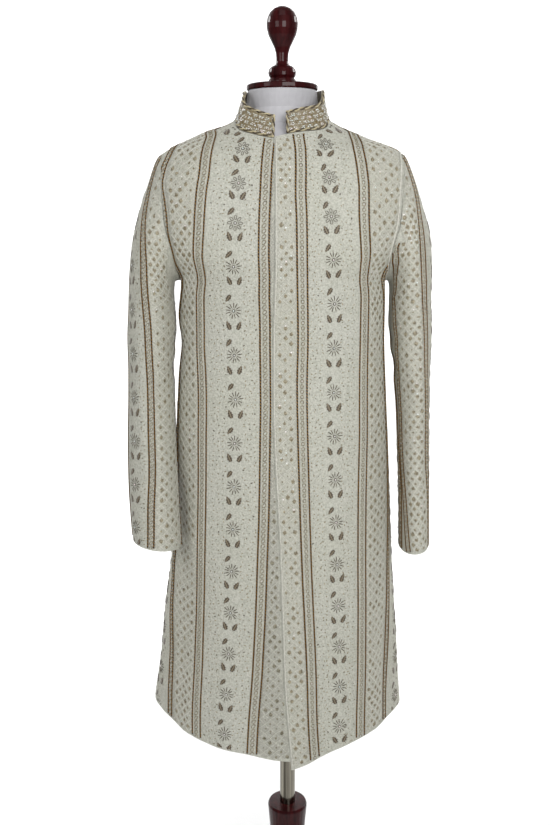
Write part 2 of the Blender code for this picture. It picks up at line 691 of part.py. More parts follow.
def stand(wood, chrome):
    """Neck cap, finial, pole, post and base."""
    cap_z = NECK_TOP_Z
    finish(turned("neck_cap", CAP_OUTLINE, cap_z, CAP_HEIGHT, 36, at_x=FORM_X), wood)
    finish(turned("finial", FINIAL_OUTLINE, cap_z + CAP_HEIGHT + SEAM, FINIAL_HEIGHT, 28,
                  at_x=FORM_X), wood)
    pole_foot = POST_TOP_Z - SOCKET_DEPTH + SEAM
    pole_top = FORM_BOTTOM_Z + SOCKET_DEPTH - SEAM
    finish(turned("pole", ((POLE_RADIUS, 0.0), (POLE_RADIUS, pole_top - pole_foot)),
                  pole_foot, pole_top - pole_foot, 24), chrome)
    post_foot = BASE_HEIGHT + SEAM
    finish(turned("post", POST_OUTLINE, post_foot, POST_TOP_Z - post_foot, 28,
                  bore=(POLE_RADIUS + SEAM, SOCKET_DEPTH)), wood)
    finish(turned("base", BASE_OUTLINE, 0.0, BASE_HEIGHT, 40), wood)


for old in list(bpy.data.objects):
    bpy.data.objects.remove(old)

COAT = bpy.data.collections.new("sherwani_on_form")
bpy.context.scene.collection.children.link(COAT)

EMBROIDERED_SILK = make_material("embroidered silk", (0.58, 0.57, 0.48), 0.75)
BEADED_BAND = make_material("beaded collar band", (0.50, 0.42, 0.28), 0.5)
FORM_COVER = make_material("form cover", (0.50, 0.50, 0.50), 0.85)
MAHOGANY = make_material("varnished mahogany", (0.045, 0.008, 0.009), 0.25, coat=0.6)
SATIN_CHROME = make_material("satin chrome", (0.62, 0.62, 0.62), 0.25, metallic=1.0)

front_panel("front_right", "right", EMBROIDERED_SILK)
front_panel("front_left", "left", EMBROIDERED_SILK)
back_panel("back", EMBROIDERED_SILK)
sleeve("sleeve_right", -1, SLEEVE_RIGHT, EMBROIDERED_SILK)
sleeve("sleeve_left", 1, SLEEVE_LEFT, EMBROIDERED_SILK)
collar("collar", BEADED_BAND)
form_body("form_body", FORM_COVER)
stand(MAHOGANY, SATIN_CHROME)
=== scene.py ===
"""Sherwani coat on a limbless dress form: cloth, embroidery, beads, wood and chrome.

The cloth follows the same sections, seams and folds as the frame's solids, at a finer
step. Stripes, flowers, lattice and beads are meshes laid on it by a turn in degrees round
the piece and a row up it: a height on the body, metres of cloth on a sleeve and a share of
the height on the collar. The wearer's left is the positive side.
"""

import math
from collections import namedtuple

import bpy
import numpy as np
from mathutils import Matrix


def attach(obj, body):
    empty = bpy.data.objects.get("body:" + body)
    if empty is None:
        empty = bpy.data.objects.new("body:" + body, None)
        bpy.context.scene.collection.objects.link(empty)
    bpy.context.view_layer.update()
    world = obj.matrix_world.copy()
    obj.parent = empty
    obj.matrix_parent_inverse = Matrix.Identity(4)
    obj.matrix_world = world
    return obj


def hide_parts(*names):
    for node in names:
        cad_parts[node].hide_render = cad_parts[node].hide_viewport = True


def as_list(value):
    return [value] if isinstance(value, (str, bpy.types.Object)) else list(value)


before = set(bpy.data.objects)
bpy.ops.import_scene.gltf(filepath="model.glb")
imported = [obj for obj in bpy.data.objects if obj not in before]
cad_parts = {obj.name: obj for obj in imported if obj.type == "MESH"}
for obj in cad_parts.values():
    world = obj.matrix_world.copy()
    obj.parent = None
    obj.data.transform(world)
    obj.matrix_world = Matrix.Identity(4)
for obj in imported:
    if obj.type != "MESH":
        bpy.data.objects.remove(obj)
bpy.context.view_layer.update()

# ---------------------------------------------------------------- sizes of the coat
WALL = 0.0018            # embroidered silk on its interlining
COLLAR_WALL = 0.0026     # stiffened stand collar
SEAM = 0.0003            # gap between neighbouring pieces
SIDE_GAP = 0.0007        # the same at the side seams, over the outer face
SHOULDER_GAP = 0.0010    # and at the shoulder seams
FORM_X = -0.0125         # middle of the form's neck
SHOULDER_Z = 1.4665      # shoulder point, the armhole's top
UNDERARM_Z = 1.250       # the armhole's lowest point
ARMHOLE_DEPTH = 0.083    # half the armhole's width, front to back
NECK_SIDE_Z = 1.525      # the shoulder seam's end at the neck
SHOULDER_MIDDLE_Z = 1.490
HEM_FRONT_Z = 0.410      # near the lower and upper ends of the front edges
NECK_FRONT_Z = 1.488
LAP_RISE = 0.0030        # the over panel's rise above the under panel
UNDER_EDGE_X = 0.024     # hidden edge of the under panel
TUBE_GIRTH = 0.42        # cloth counted in a full turn of a sleeve or the collar
COLLAR_BAND = 0.038      # the collar's mean height

# grid steps of the cloth
FINE = 4                 # for one step of the frame's solids
ARM_STEPS, SIDE_STEPS, NECK_STEPS, SHOULDER_STEPS = (FINE * n for n in (10, 13, 6, 6))
ARMHOLE_SHARE = 0.70     # the armhole starts at this share of a panel's rows
SLEEVE_ROWS = 150
COLLAR_COLUMNS, COLLAR_ROWS = 161, 15

# sections of the body: half its width, its depth in front and behind, how square it is, shift
Section = namedtuple("Section", "height half_width front back square shift")
SECTIONS = tuple(Section(*row) for row in (
    (0.395, 0.2350, 0.1710, 0.1600, 2.20, -0.0080),
    (0.470, 0.2310, 0.1690, 0.1580, 2.20, -0.0072),
    (0.600, 0.2160, 0.1610, 0.1530, 2.25, -0.0020),
    (0.735, 0.2040, 0.1520, 0.1480, 2.30, 0.0000),
    (0.870, 0.1960, 0.1420, 0.1440, 2.35, 0.0000),
    (0.980, 0.1895, 0.1320, 0.1400, 2.40, 0.0000),
    (1.080, 0.1825, 0.1220, 0.1260, 2.45, 0.0005),
    (1.165, 0.1760, 0.1170, 0.1140, 2.50, 0.0028),
    (1.250, 0.1770, 0.1230, 0.1160, 2.55, 0.0020),
    (1.300, 0.2050, 0.1290, 0.1240, 2.60, 0.0000),
    (1.350, 0.2270, 0.1270, 0.1300, 2.60, 0.0000),
    (1.395, 0.2340, 0.1190, 0.1290, 2.60, 0.0000),
    (1.435, 0.2250, 0.1070, 0.1180, 2.55, 0.0000),
    (1.4665, 0.1985, 0.0930, 0.1030, 2.45, 0.0000),
    (1.490, 0.1380, 0.0790, 0.0880, 2.25, 0.0000),
    (1.515, 0.0835, 0.0725, 0.0785, 2.10, 0.0000),
    (1.535, 0.0690, 0.0650, 0.0680, 2.00, 0.0000),
    (1.5665, 0.0607, 0.0607, 0.0607, 2.00, 0.0000),
))
# heights of the hem and the neckline, on the wearer's right and left
Edge = namedtuple("Edge", "angle right left")
HEM = tuple(Edge(*row) for row in (
    (-12.0, 0.4200, 0.3975), (0.0, 0.4230, 0.4005), (17.0, 0.4330, 0.4150),
    (35.0, 0.4410, 0.4370), (55.0, 0.4560, 0.4540), (75.0, 0.4740, 0.4660),
    (90.0, 0.4800, 0.4690), (135.0, 0.4680, 0.4640), (180.0, 0.4620, 0.4620),
))
NECKLINE = tuple(Edge(*row) for row in (
    (-12.0, 1.4838, 1.4845), (5.0, 1.4845, 1.4905), (42.0, 1.4955, 1.4985),
    (66.0, 1.5135, 1.5135), (90.0, NECK_SIDE_Z, NECK_SIDE_Z), (135.0, 1.5270, 1.5270),
    (180.0, 1.5310, 1.5310),
))
# the over panel's free edge and the armhole, across from the middle
Line = namedtuple("Line", "height across")
CLOSING = tuple(Line(*row) for row in (
    (0.395, 0.0178), (0.567, 0.0040), (0.785, -0.0034), (1.060, -0.0153),
    (1.160, -0.0153), (1.310, -0.0120), (1.500, -0.0128),
))
ARMHOLE = tuple(Line(*row) for row in (
    (UNDERARM_Z, 0.1770), (1.290, 0.1810), (1.320, 0.1870), (1.350, 0.1940),
    (1.400, 0.1980), (1.440, 0.2000), (SHOULDER_Z, 0.1985),
))
# soft folds: half their turn and length, lean in degrees a metre, rise
Fold = namedtuple("Fold", "angle height turn length lean rise")
FOLDS = tuple(Fold(*row) for row in (
    (64.0, 0.560, 10.0, 0.260, -14.0, -0.0055),
    (80.0, 0.500, 8.0, 0.240, -10.0, 0.0040),
    (28.0, 0.480, 11.0, 0.220, 6.0, -0.0025),
    (-60.0, 0.540, 10.0, 0.280, 16.0, -0.0050),
    (-78.0, 0.500, 9.0, 0.220, 10.0, 0.0040),
    (-30.0, 0.500, 12.0, 0.200, 0.0, 0.0025),
    (108.0, 0.540, 10.0, 0.300, 8.0, -0.0050),
    (-112.0, 0.520, 9.0, 0.330, -8.0, -0.0055),
    (140.0, 0.500, 11.0, 0.340, 4.0, -0.0065),
    (-146.0, 0.520, 10.0, 0.300, -4.0, -0.0060),
    (162.0, 0.500, 9.0, 0.260, 0.0, 0.0045),
    (-168.0, 0.500, 9.0, 0.260, 0.0, 0.0040),
    (62.0, 1.270, 12.0, 0.060, -60.0, -0.0022),
    (-60.0, 1.275, 12.0, 0.060, 60.0, -0.0022),
    (150.0, 1.215, 16.0, 0.075, 0.0, -0.0030),
    (-150.0, 1.205, 16.0, 0.075, 0.0, -0.0030),
    (-90.0, 1.4920, 50.0, 0.022, 0.0, 0.0045),
    (-70.0, 0.830, 19.0, 0.190, 0.0, -0.0095),
    (-86.0, 1.190, 20.0, 0.060, 0.0, 0.0060),
    (-88.0, 0.640, 26.0, 0.130, 0.0, 0.0050),
    (88.0, 0.520, 26.0, 0.110, 0.0, -0.0032),
))
# sections of the sleeves: their outer and inner ends, half their depth and its middle
Oval = namedtuple("Oval", "out_x out_z in_x in_z half_depth mid_y")
SLEEVE_RIGHT = tuple(Oval(*row) for row in (
    (0.2135, 1.4540, 0.1860, 1.2480, 0.0830, 0.000),
    (0.2290, 1.4130, 0.1885, 1.2390, 0.0820, -0.002),
    (0.2420, 1.3760, 0.1890, 1.2270, 0.0800, -0.005),
    (0.2560, 1.3220, 0.1880, 1.2100, 0.0775, -0.009),
    (0.2620, 1.2700, 0.1870, 1.1900, 0.0755, -0.014),
    (0.2645, 1.2100, 0.1865, 1.1600, 0.0730, -0.020),
    (0.2655, 1.1400, 0.1890, 1.1120, 0.0690, -0.029),
    (0.2660, 1.0600, 0.1890, 1.0450, 0.0640, -0.041),
    (0.2670, 0.9700, 0.1860, 0.9580, 0.0590, -0.060),
    (0.2650, 0.8900, 0.1815, 0.8800, 0.0530, -0.079),
    (0.2595, 0.8100, 0.1765, 0.7960, 0.0480, -0.096),
))
SLEEVE_LEFT = tuple(Oval(*row) for row in (
    (0.2110, 1.4570, 0.1860, 1.2480, 0.0830, 0.000),
    (0.2270, 1.4190, 0.1885, 1.2390, 0.0820, -0.002),
    (0.2370, 1.3870, 0.1890, 1.2280, 0.0800, -0.005),
    (0.2520, 1.3400, 0.1880, 1.2140, 0.0775, -0.009),
    (0.2575, 1.2900, 0.1875, 1.1980, 0.0750, -0.013),
    (0.2580, 1.2250, 0.1885, 1.1720, 0.0730, -0.018),
    (0.2580, 1.1450, 0.1935, 1.1200, 0.0700, -0.026),
    (0.2575, 1.0600, 0.2010, 1.0450, 0.0670, -0.036),
    (0.2580, 0.9700, 0.2040, 0.9620, 0.0630, -0.047),
    (0.2590, 0.8830, 0.2070, 0.8780, 0.0590, -0.058),
    (0.2595, 0.7930, 0.2090, 0.7850, 0.0560, -0.068),
))
# creases of both sleeves, placed by station, the number of the section
Crease = namedtuple("Crease", "station angle length turn rise")
CREASES = tuple(Crease(*row) for row in (
    (7.2, 180.0, 0.45, 40.0, -0.0040),
    (6.4, 170.0, 0.40, 45.0, -0.0030),
    (7.8, 120.0, 0.60, 30.0, -0.0030),
    (6.8, 20.0, 0.70, 35.0, 0.0020),
    (9.2, 60.0, 0.90, 28.0, -0.0025),
    (3.2, 130.0, 0.80, 30.0, -0.0030),
    (3.2, 230.0, 0.80, 30.0, -0.0030),
    (9.6, 240.0, 1.00, 30.0, -0.0025),
))
# the collar's height, and how far it leans in at the top
Band = namedtuple("Band", "angle height_right height_left lean_right lean_left")
COLLAR = tuple(Band(*row) for row in (
    (0.0, 0.0350, 0.0350, 0.0075, 0.0075), (45.0, 0.0405, 0.0400, 0.0120, 0.0090),
    (67.0, 0.0465, 0.0460, 0.0160, 0.0100), (90.0, 0.0390, 0.0420, 0.0102, 0.0060),
    (135.0, 0.0400, 0.0415, 0.0045, 0.0030), (180.0, 0.0385, 0.0385, 0.0015, 0.0015),
))
COLLAR_END_LEFT_X = 0.0078
COLLAR_END_RIGHT_X = -0.0142


# ---------------------------------------------------------------- surfaces
class Curve:
    """A smooth curve through points that doesn't overshoot them."""

    def __init__(self, xs, ys):
        self.x, self.y = np.array(xs, float), np.array(ys, float)
        slope = np.diff(self.y) / np.diff(self.x)
        product, total = slope[:-1] * slope[1:], slope[:-1] + slope[1:]
        inner = np.where(product > 0, 2 * product / np.where(product > 0, total, 1), 0)
        self.tangent = np.concatenate(([slope[0]], inner, [slope[-1]]))

    def __call__(self, x):
        x = np.clip(x, self.x[0], self.x[-1])
        i = np.clip(np.searchsorted(self.x, x, side="right") - 1, 0, len(self.x) - 2)
        step = self.x[i + 1] - self.x[i]
        t = (x - self.x[i]) / step
        return (self.y[i] * (1 + 2 * t) * (1 - t) ** 2 + self.tangent[i] * step * t * (1 - t) ** 2
                + self.y[i + 1] * t * t * (3 - 2 * t)
                + self.tangent[i + 1] * step * t * t * (t - 1))


def curves(table):
    """A smooth curve for each column of a table against its first column."""
    columns = list(zip(*table))
    return {name: Curve(columns[0], values)
            for name, values in zip(table[0]._fields[1:], columns[1:])}


SECTION, HEM_LINE, NECK_LINE = curves(SECTIONS), curves(HEM), curves(NECKLINE)
CLOSING_LINE, ARMHOLE_LINE, COLLAR_LINE = curves(CLOSING), curves(ARMHOLE), curves(COLLAR)


def edge_height(lines, angle, panel):
    """Height of the hem or the neckline at an angle; the wearer's left is positive."""
    if panel == "back":
        return np.where(np.greater(angle, 0), lines["left"](np.abs(angle)),
                        lines["right"](np.abs(angle)))
    return lines[panel](angle if panel == "left" else np.negative(angle))


def bell(x):
    """A smooth bump, 1 at 0 and 0 beyond 1."""
    return (np.cos(np.pi * np.minimum(np.abs(x), 1.0)) + 1) / 2


def wrap(angle):
    """The same angle between -180 and 180."""
    return (angle + 180) % 360 - 180


def unit(v):
    """Vectors at length 1."""
    return v / np.maximum(np.linalg.norm(v, axis=-1, keepdims=True), 1e-12)


def level_point(angle, z):
    """Plain surface at an angle from the front and a height, without folds."""
    angle, z = np.broadcast_arrays(np.asarray(angle, float), np.asarray(z, float))
    sine, cosine = np.sin(np.radians(angle)), np.cos(np.radians(angle))
    depth = np.where(cosine > 0, SECTION["front"](z), SECTION["back"](z))
    n = SECTION["square"](z)
    reach = ((np.abs(sine) / SECTION["half_width"](z)) ** n
             + (np.abs(cosine) / depth) ** n) ** (-1 / n)
    return np.stack((FORM_X + SECTION["shift"](z) + reach * sine, -reach * cosine, z), -1)


def plain_normal(angle, z):
    """Outward direction of the plain surface."""
    turn_step, height_step = 0.4, 0.0015
    across = level_point(angle + turn_step, z) - level_point(angle - turn_step, z)
    up = level_point(angle, z + height_step) - level_point(angle, z - height_step)
    return unit(np.cross(across, up))


def garment(angle, z, lift=0.0):
    """The coat's outer face, folds included, moved out by lift."""
    rise = lift
    for fold in FOLDS:
        up = z - fold.height
        away = wrap(angle - fold.angle - fold.lean * up)
        rise = rise + fold.rise * bell(away / fold.turn) * bell(up / fold.length)
    return level_point(angle, z) + plain_normal(angle, z) * np.asarray(rise)[..., None]


def angle_at(across, z, back=False):
    """Angle of the section's point that lies this far from the section's middle."""
    n, half = SECTION["square"](z), SECTION["half_width"](z)
    share = np.minimum(np.abs(across) / half, 1.0)
    depth = SECTION["back" if back else "front"](z) * (1 - share ** n) ** (1 / n)
    return np.degrees(np.arctan2(across, -depth if back else depth))


def armhole_place(share, back):
    """Angle and height on the armhole, share 0 at the shoulder and 1 under the arm."""
    share = np.asarray(share, float)
    z = (SHOULDER_Z + UNDERARM_Z) / 2 + (SHOULDER_Z - UNDERARM_Z) / 2 * np.cos(np.pi * share)
    return np.where((share <= 0) | (share >= 1), 90.0, armhole_angle(z, share, back)), z


def armhole_angle(z, share, back):
    """Angle of the armhole's edge at a height."""
    n = SECTION["square"](z)
    deep = ARMHOLE_DEPTH * np.sin(np.pi * share) / SECTION["back" if back else "front"](z)
    rounded = SECTION["half_width"](z) * np.maximum(0.0, 1 - deep ** n) ** (1 / n)
    return angle_at(np.minimum(ARMHOLE_LINE["across"](z), rounded), z, back)


def lap_lift(angle, z):
    """How far the over panel stands proud beside its free edge."""
    reach = level_point(angle, z)[..., 0] - FORM_X
    flat, fade = 0.034, 0.030
    return LAP_RISE * bell(np.maximum(0.0, reach - flat) / fade)


def free_edge_angle(panel, z):
    """Angle of a front panel's free edge at a height."""
    across = CLOSING_LINE["across"](z) if panel == "left" else UNDER_EDGE_X
    return angle_at(across - SECTION["shift"](z), z)


def panel_face(panel):
    """The outer face of a panel as a function of angle, height and lift."""
    if panel == "left":
        return lambda angle, z, lift=0.0: garment(angle, z, lift + lap_lift(angle, z))
    return garment


# ---------------------------------------------------------------- panel grids
def seam_slack(gap, reach, panel):
    """Half a seam's gap as an angle at this reach, away from the seam on either side."""
    return math.degrees(gap / 2 / reach) * (1 if panel == "back" else -1)


def side_border(panel, side):
    """A panel's side seam, then its armhole, from hem to shoulder: angles and heights."""
    back = panel == "back"
    slack = seam_slack(SIDE_GAP, SECTION["half_width"](UNDERARM_Z), panel)
    low = edge_height(HEM_LINE, side * 90.0, "left" if side > 0 else "right")
    up = np.linspace(low, UNDERARM_Z, SIDE_STEPS + 1)
    share = 1 - np.arange(1, ARM_STEPS + 1) / ARM_STEPS
    angle, z = armhole_place(share, back)
    limit = np.maximum if back else np.minimum
    angle = np.concatenate((np.full(SIDE_STEPS + 1, 90.0 + slack), limit(angle, 90.0 + slack)))
    return side * angle, np.concatenate((up, z))


def top_border(panel, side, start):
    """Neckline, then shoulder seam, from the panel's middle: angles and heights."""
    slack = seam_slack(SHOULDER_GAP, SECTION["half_width"](SHOULDER_MIDDLE_Z), panel)
    neck = np.linspace(start, side * (90.0 + slack), NECK_STEPS + 1)
    share = np.arange(1, SHOULDER_STEPS + 1) / SHOULDER_STEPS
    angle = np.concatenate((neck, np.full(SHOULDER_STEPS, side * (90.0 + slack))))
    z = np.concatenate((edge_height(NECK_LINE, neck, panel),
                        NECK_SIDE_Z + (SHOULDER_Z - NECK_SIDE_Z) * share))
    return angle, z


def panel_grid(panel, side):
    """Angles and heights of a panel's grid, rows up and columns from its middle."""
    rows, columns = SIDE_STEPS + ARM_STEPS, NECK_STEPS + SHOULDER_STEPS
    j = np.arange(rows + 1)
    v = np.where(j <= SIDE_STEPS, ARMHOLE_SHARE * j / SIDE_STEPS,
                 ARMHOLE_SHARE + (1 - ARMHOLE_SHARE) * (j - SIDE_STEPS) / ARM_STEPS)[:, None]
    u = (np.arange(columns + 1) / columns)[None, :]
    side_edge = side_border(panel, side)
    back = panel == "back"
    if back:
        low, high = (edge_height(lines, 180.0, "back") for lines in (HEM_LINE, NECK_LINE))
        middle_z = low + (high - low) * v
        middle = (np.full_like(middle_z, side * 180.0), middle_z)
    else:
        low = edge_height(HEM_LINE, free_edge_angle(panel, HEM_FRONT_Z), panel)
        high = edge_height(NECK_LINE, free_edge_angle(panel, NECK_FRONT_Z), panel)
        middle_z = low + (high - low) * v
        middle = (free_edge_angle(panel, middle_z), middle_z)
    hem_angle = middle[0][0] + (side_edge[0][0] - middle[0][0]) * u[0]
    hem = (hem_angle, edge_height(HEM_LINE, hem_angle, panel))
    start = side * 180.0 if back else free_edge_angle(panel, edge_height(NECK_LINE, 0.0, panel))
    top = top_border(panel, side, start)
    top_pull = np.maximum(0.0, (v - ARMHOLE_SHARE) / (1 - ARMHOLE_SHARE)) ** 1.5
    grids = []
    for k in (0, 1):
        ends = middle[k][:, 0][:, None], side_edge[k][:, None]
        low_bend = hem[k] - (1 - u) * ends[0][0] - u * ends[1][0]
        top_bend = top[k] - (1 - u) * ends[0][-1] - u * ends[1][-1]
        between = (1 - u) * ends[0] + u * ends[1]
        grids.append(between + (1 - v) ** 3 * low_bend + top_pull * top_bend)
    return grids


# ---------------------------------------------------------------- sleeves
def sleeve_face(side, table):
    """A sleeve's outer face as a function of the angle round it, station and lift."""
    rows = np.array(table)
    outer, inner = rows[:, [0, 5, 1]], rows[:, [2, 5, 3]]

    def rings(turn):
        """Points of the armhole and of every section at these angles."""
        sine, cosine = np.sin(np.radians(turn)), np.cos(np.radians(turn))
        middles, halves = (outer + inner)[:, None] / 2, (outer - inner)[:, None] / 2
        points = middles + halves * cosine[None, :, None]
        points[..., 1] -= rows[:, 4][:, None] * sine
        points[..., 0] = FORM_X + side * points[..., 0]
        turn = turn % 360.0
        back = turn > 180
        share = np.where(back, 360.0 - turn, turn) / 180.0
        front_angle, z = armhole_place(share, False)
        angle = side * np.where(back, armhole_place(share, True)[0], front_angle)
        head, normal = garment(angle, z), plain_normal(angle, z)
        middle = np.array((FORM_X + side * ARMHOLE_LINE["across"](SHOULDER_Z), 0.0,
                           (SHOULDER_Z + UNDERARM_Z) / 2))
        inward = middle - head
        inward = unit(inward - normal * (inward * normal).sum(-1, keepdims=True))
        run = (unit(points[0] - head) * normal).sum(-1, keepdims=True)
        slip = 2 * SEAM + WALL * np.maximum(0.0, -run)
        head = head + inward * slip + normal * WALL * np.maximum(0.0, run)
        return np.concatenate((head[None], points))

    def spline(points, station):
        """Smooth curve through one point of every ring."""
        index = np.clip(station.astype(int), 0, len(points) - 2)
        t = (station - index)[:, None]
        line = np.arange(len(station)) % points.shape[1]
        before, start = points[np.maximum(index - 1, 0), line], points[index, line]
        end, after = points[index + 1, line], points[np.minimum(index + 2, len(points) - 1), line]
        return (start * (1 + 2 * t) * (1 - t) ** 2 + (end - before) / 2 * t * (1 - t) ** 2
                + end * t * t * (3 - 2 * t) + (after - start) / 2 * t * t * (t - 1))

    def face(turn, station, lift=0.0):
        turn, station = np.broadcast_arrays(np.asarray(turn, float), np.asarray(station, float))
        shape, turn, station = turn.shape, turn.ravel(), station.ravel()
        point = spline(rings(turn), station)
        quarters = [spline(rings(np.array((quarter,))), station)
                    for quarter in (0.0, 90.0, 180.0, 270.0)]
        middle = sum(quarters) / 4
        rise = sum(crease.rise * bell((station - crease.station) / crease.length)
                   * bell(wrap(turn - crease.angle) / crease.turn) for crease in CREASES)
        rise = rise + np.broadcast_to(lift, shape).ravel()
        return (point + unit(point - middle) * rise[:, None]).reshape(*shape, 3)

    return face


def collar_face(angle, share, bulge=0.0):
    """The stand collar's outer face: share 0 at the neckline and 1 at its top edge."""
    angle, share = np.broadcast_arrays(np.asarray(angle, float), np.asarray(share, float))
    folded = wrap(angle)
    panel_z = np.where(np.abs(folded) > 90, edge_height(NECK_LINE, folded, "back"),
                       np.where(folded > 0, edge_height(NECK_LINE, folded, "left"),
                                edge_height(NECK_LINE, folded, "right")))
    on_left = (folded > 0) & (folded <= 90)
    foot = garment(folded, panel_z, np.where(on_left, lap_lift(folded, panel_z), 0.0))
    height, lean = (np.where(folded > 0, COLLAR_LINE[kind + "_left"](np.abs(folded)),
                             COLLAR_LINE[kind + "_right"](np.abs(folded)))
                    for kind in ("height", "lean"))
    inset = SEAM + 0.0005
    out = bulge - inset - lean * share
    radians = np.radians(folded)
    return foot + np.stack((np.sin(radians) * out, -np.cos(radians) * out,
                            inset + height * share), -1)


COLLAR_START = float(angle_at(COLLAR_END_LEFT_X, NECK_FRONT_Z))
COLLAR_END = 360.0 + float(angle_at(COLLAR_END_RIGHT_X, NECK_FRONT_Z))


# ---------------------------------------------------------------- building meshes
SHARP_ANGLE = math.radians(50)      # edges of a cloth wall that are steeper stay sharp


def linear(code):
    """Linear colour of an sRGB hex code."""
    channels = [int(code[i:i + 2], 16) / 255 for i in (1, 3, 5)]
    return tuple(c / 12.92 if c <= 0.04045 else ((c + 0.055) / 1.055) ** 2.4
                 for c in channels) + (1.0,)


def node(tree, kind, links=None, **settings):
    """Add a node with its settings and links; a setting named in_x sets input x."""
    made = tree.nodes.new(kind)
    for name, value in settings.items():
        if not name.startswith("in_"):
            setattr(made, name, value)
    for name, value in settings.items():
        if name.startswith("in_"):
            key = name[3:]
            made.inputs[int(key) if key.isdigit() else key.replace("_", " ")].default_value = value
    for key, source in (links or {}).items():
        tree.links.new(source, made.inputs[key])
    return made


def material(name, roughness, **shader_values):
    """A new material, its node tree and its Principled shader."""
    made = bpy.data.materials.new(name)
    made.use_nodes = True
    tree = made.node_tree
    shader = tree.nodes["Principled BSDF"]
    shader.inputs["Roughness"].default_value = roughness
    for key, value in shader_values.items():
        shader.inputs[key.replace("_", " ")].default_value = value
    return made, tree, shader


def triangles(faces):
    """Quads split into triangles."""
    faces = np.asarray(faces)
    if faces.shape[1] == 3:
        return faces
    return np.concatenate((faces[:, [0, 1, 2]], faces[:, [0, 2, 3]]))


class Pile:
    """Small parts of one material, gathered into one mesh."""

    def __init__(self):
        self.points, self.faces, self.uv, self.count = [], [], [], 0

    def add(self, points, faces, uv=None):
        """Add points, an array of any shape ending in 3, with faces that index them."""
        points = np.asarray(points, float).reshape(-1, 3)
        uv = np.zeros((len(points), 2)) if uv is None else np.asarray(uv, float).reshape(-1, 2)
        self.points.append(points)
        self.faces.append(triangles(faces) + self.count)
        self.uv.append(uv)
        self.count += len(points)

    def build(self, name, surface, slot):
        """Make the piece, of one material. The slot is not used."""
        points, faces = np.concatenate(self.points), np.concatenate(self.faces)
        uv = np.concatenate(self.uv)
        used, fresh = np.unique(faces, return_inverse=True)
        points, uv, faces = points[used], uv[used], fresh.reshape(faces.shape)
        mesh = bpy.data.meshes.new(name)
        mesh.vertices.add(len(points))
        mesh.vertices.foreach_set("co", points.astype(np.float32).ravel())
        mesh.loops.add(faces.size)
        mesh.loops.foreach_set("vertex_index", faces.astype(np.int32).ravel())
        mesh.polygons.add(len(faces))
        mesh.polygons.foreach_set("loop_start", np.arange(0, faces.size, 3, dtype=np.int32))
        mesh.update(calc_edges=True)
        layer = mesh.uv_layers.new(name="cloth")
        layer.uv.foreach_set("vector", uv[faces].astype(np.float32).ravel())
        mesh.validate()
        mesh.shade_smooth()
        mesh.materials.append(surface)
        piece = bpy.data.objects.new(name, mesh)
        bpy.context.scene.collection.objects.link(piece)
        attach(piece, "root")
        return piece


def grid_faces(rows, columns, closed=False):
    """Faces of a grid of rows by columns of points, closed across the columns or not."""
    i, j = np.meshgrid(np.arange(rows - 1), np.arange(columns if closed else columns - 1),
                       indexing="ij")
    k = (j + 1) % columns
    return np.stack((i * columns + j, i * columns + k, (i + 1) * columns + k,
                     (i + 1) * columns + j), -1).reshape(-1, 4)


def apply_modifiers(piece):
    """Apply all modifiers of a piece."""
    bpy.ops.object.select_all(action="DESELECT")
    piece.select_set(True)
    bpy.context.view_layer.objects.active = piece
    for modifier in list(piece.modifiers):
        bpy.ops.object.modifier_apply(modifier=modifier.name)
    piece.select_set(False)


def cloth_shell(name, points, faces, uv, wall, surface, slot, replaced):
    """A cloth piece: one face given its wall inwards."""
    pile = Pile()
    pile.add(points, faces, uv)
    piece = pile.build(name, surface, slot)
    wall_modifier = piece.modifiers.new("wall", "SOLIDIFY")
    wall_modifier.thickness, wall_modifier.offset = wall, -1.0
    wall_modifier.use_even_offset = True
    apply_modifiers(piece)
    piece.data.shade_smooth()
    piece.data.set_sharp_from_angle(angle=SHARP_ANGLE)
    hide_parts(replaced)
    return piece


# ---------------------------------------------------------------- camera, lights, floor
CAMERA_PLACE = (-0.0245, -1.72, 1.385)
CAMERA_TILT = 12.2       # degrees below level
LENS, SENSOR = 42.63, 36.0
Softbox = namedtuple("Softbox", "name place aim size power")
SOFTBOXES = tuple(Softbox(*row) for row in (
    ("key", (0.45, -2.0, 1.85), (0.0, 0.0, 1.30), 1.5, 44.0),
    ("fill", (-2.2, -2.4, 2.1), (0.0, 0.0, 1.35), 1.4, 19.0),
    ("top", (0.0, -0.2, 3.2), (0.0, 0.0, 1.0), 1.2, 4.0),
    ("backdrop left", (-1.8, 1.2, 2.6), (-0.6, 3.4, 0.8), 1.6, 100.0),
    ("backdrop right", (1.8, 1.2, 2.6), (0.6, 3.4, 0.8), 1.6, 100.0),
))
SKY_STRENGTH = 0.13
PAPER_HALF_WIDTH = 3.2
PAPER_FRONT, PAPER_TOP = -3.0, 5.0
PAPER_BEND, PAPER_RADIUS = 2.6, 1.0      # where the floor bends up, and how tightly
PAPER_Z = -0.0006        # just under the base
PAPER_GRAIN = 300.0      # noise scale: fibres of 3.3 mm


def camera():
    """The camera, at about chest height, tilted down."""
    lens_data = bpy.data.cameras.new("camera")
    lens_data.lens = LENS
    lens_data.sensor_width = SENSOR
    holder = bpy.data.objects.new("camera", lens_data)
    holder.location = CAMERA_PLACE
    holder.rotation_euler = (math.radians(90 - CAMERA_TILT), 0.0, 0.0)
    bpy.context.scene.collection.objects.link(holder)
    bpy.context.scene.camera = holder


def softbox(name, place, aim, size, power):
    """A large square light at a place, pointed at another."""
    light = bpy.data.lights.new(name, "AREA")
    light.shape, light.size, light.energy = "SQUARE", size, power
    holder = bpy.data.objects.new(name, light)
    holder.location = place
    step = np.array(aim) - np.array(place)
    holder.rotation_euler = (math.atan2(math.hypot(step[0], step[1]), -step[2]), 0.0,
                             math.atan2(step[1], step[0]) - math.pi / 2)
    bpy.context.scene.collection.objects.link(holder)


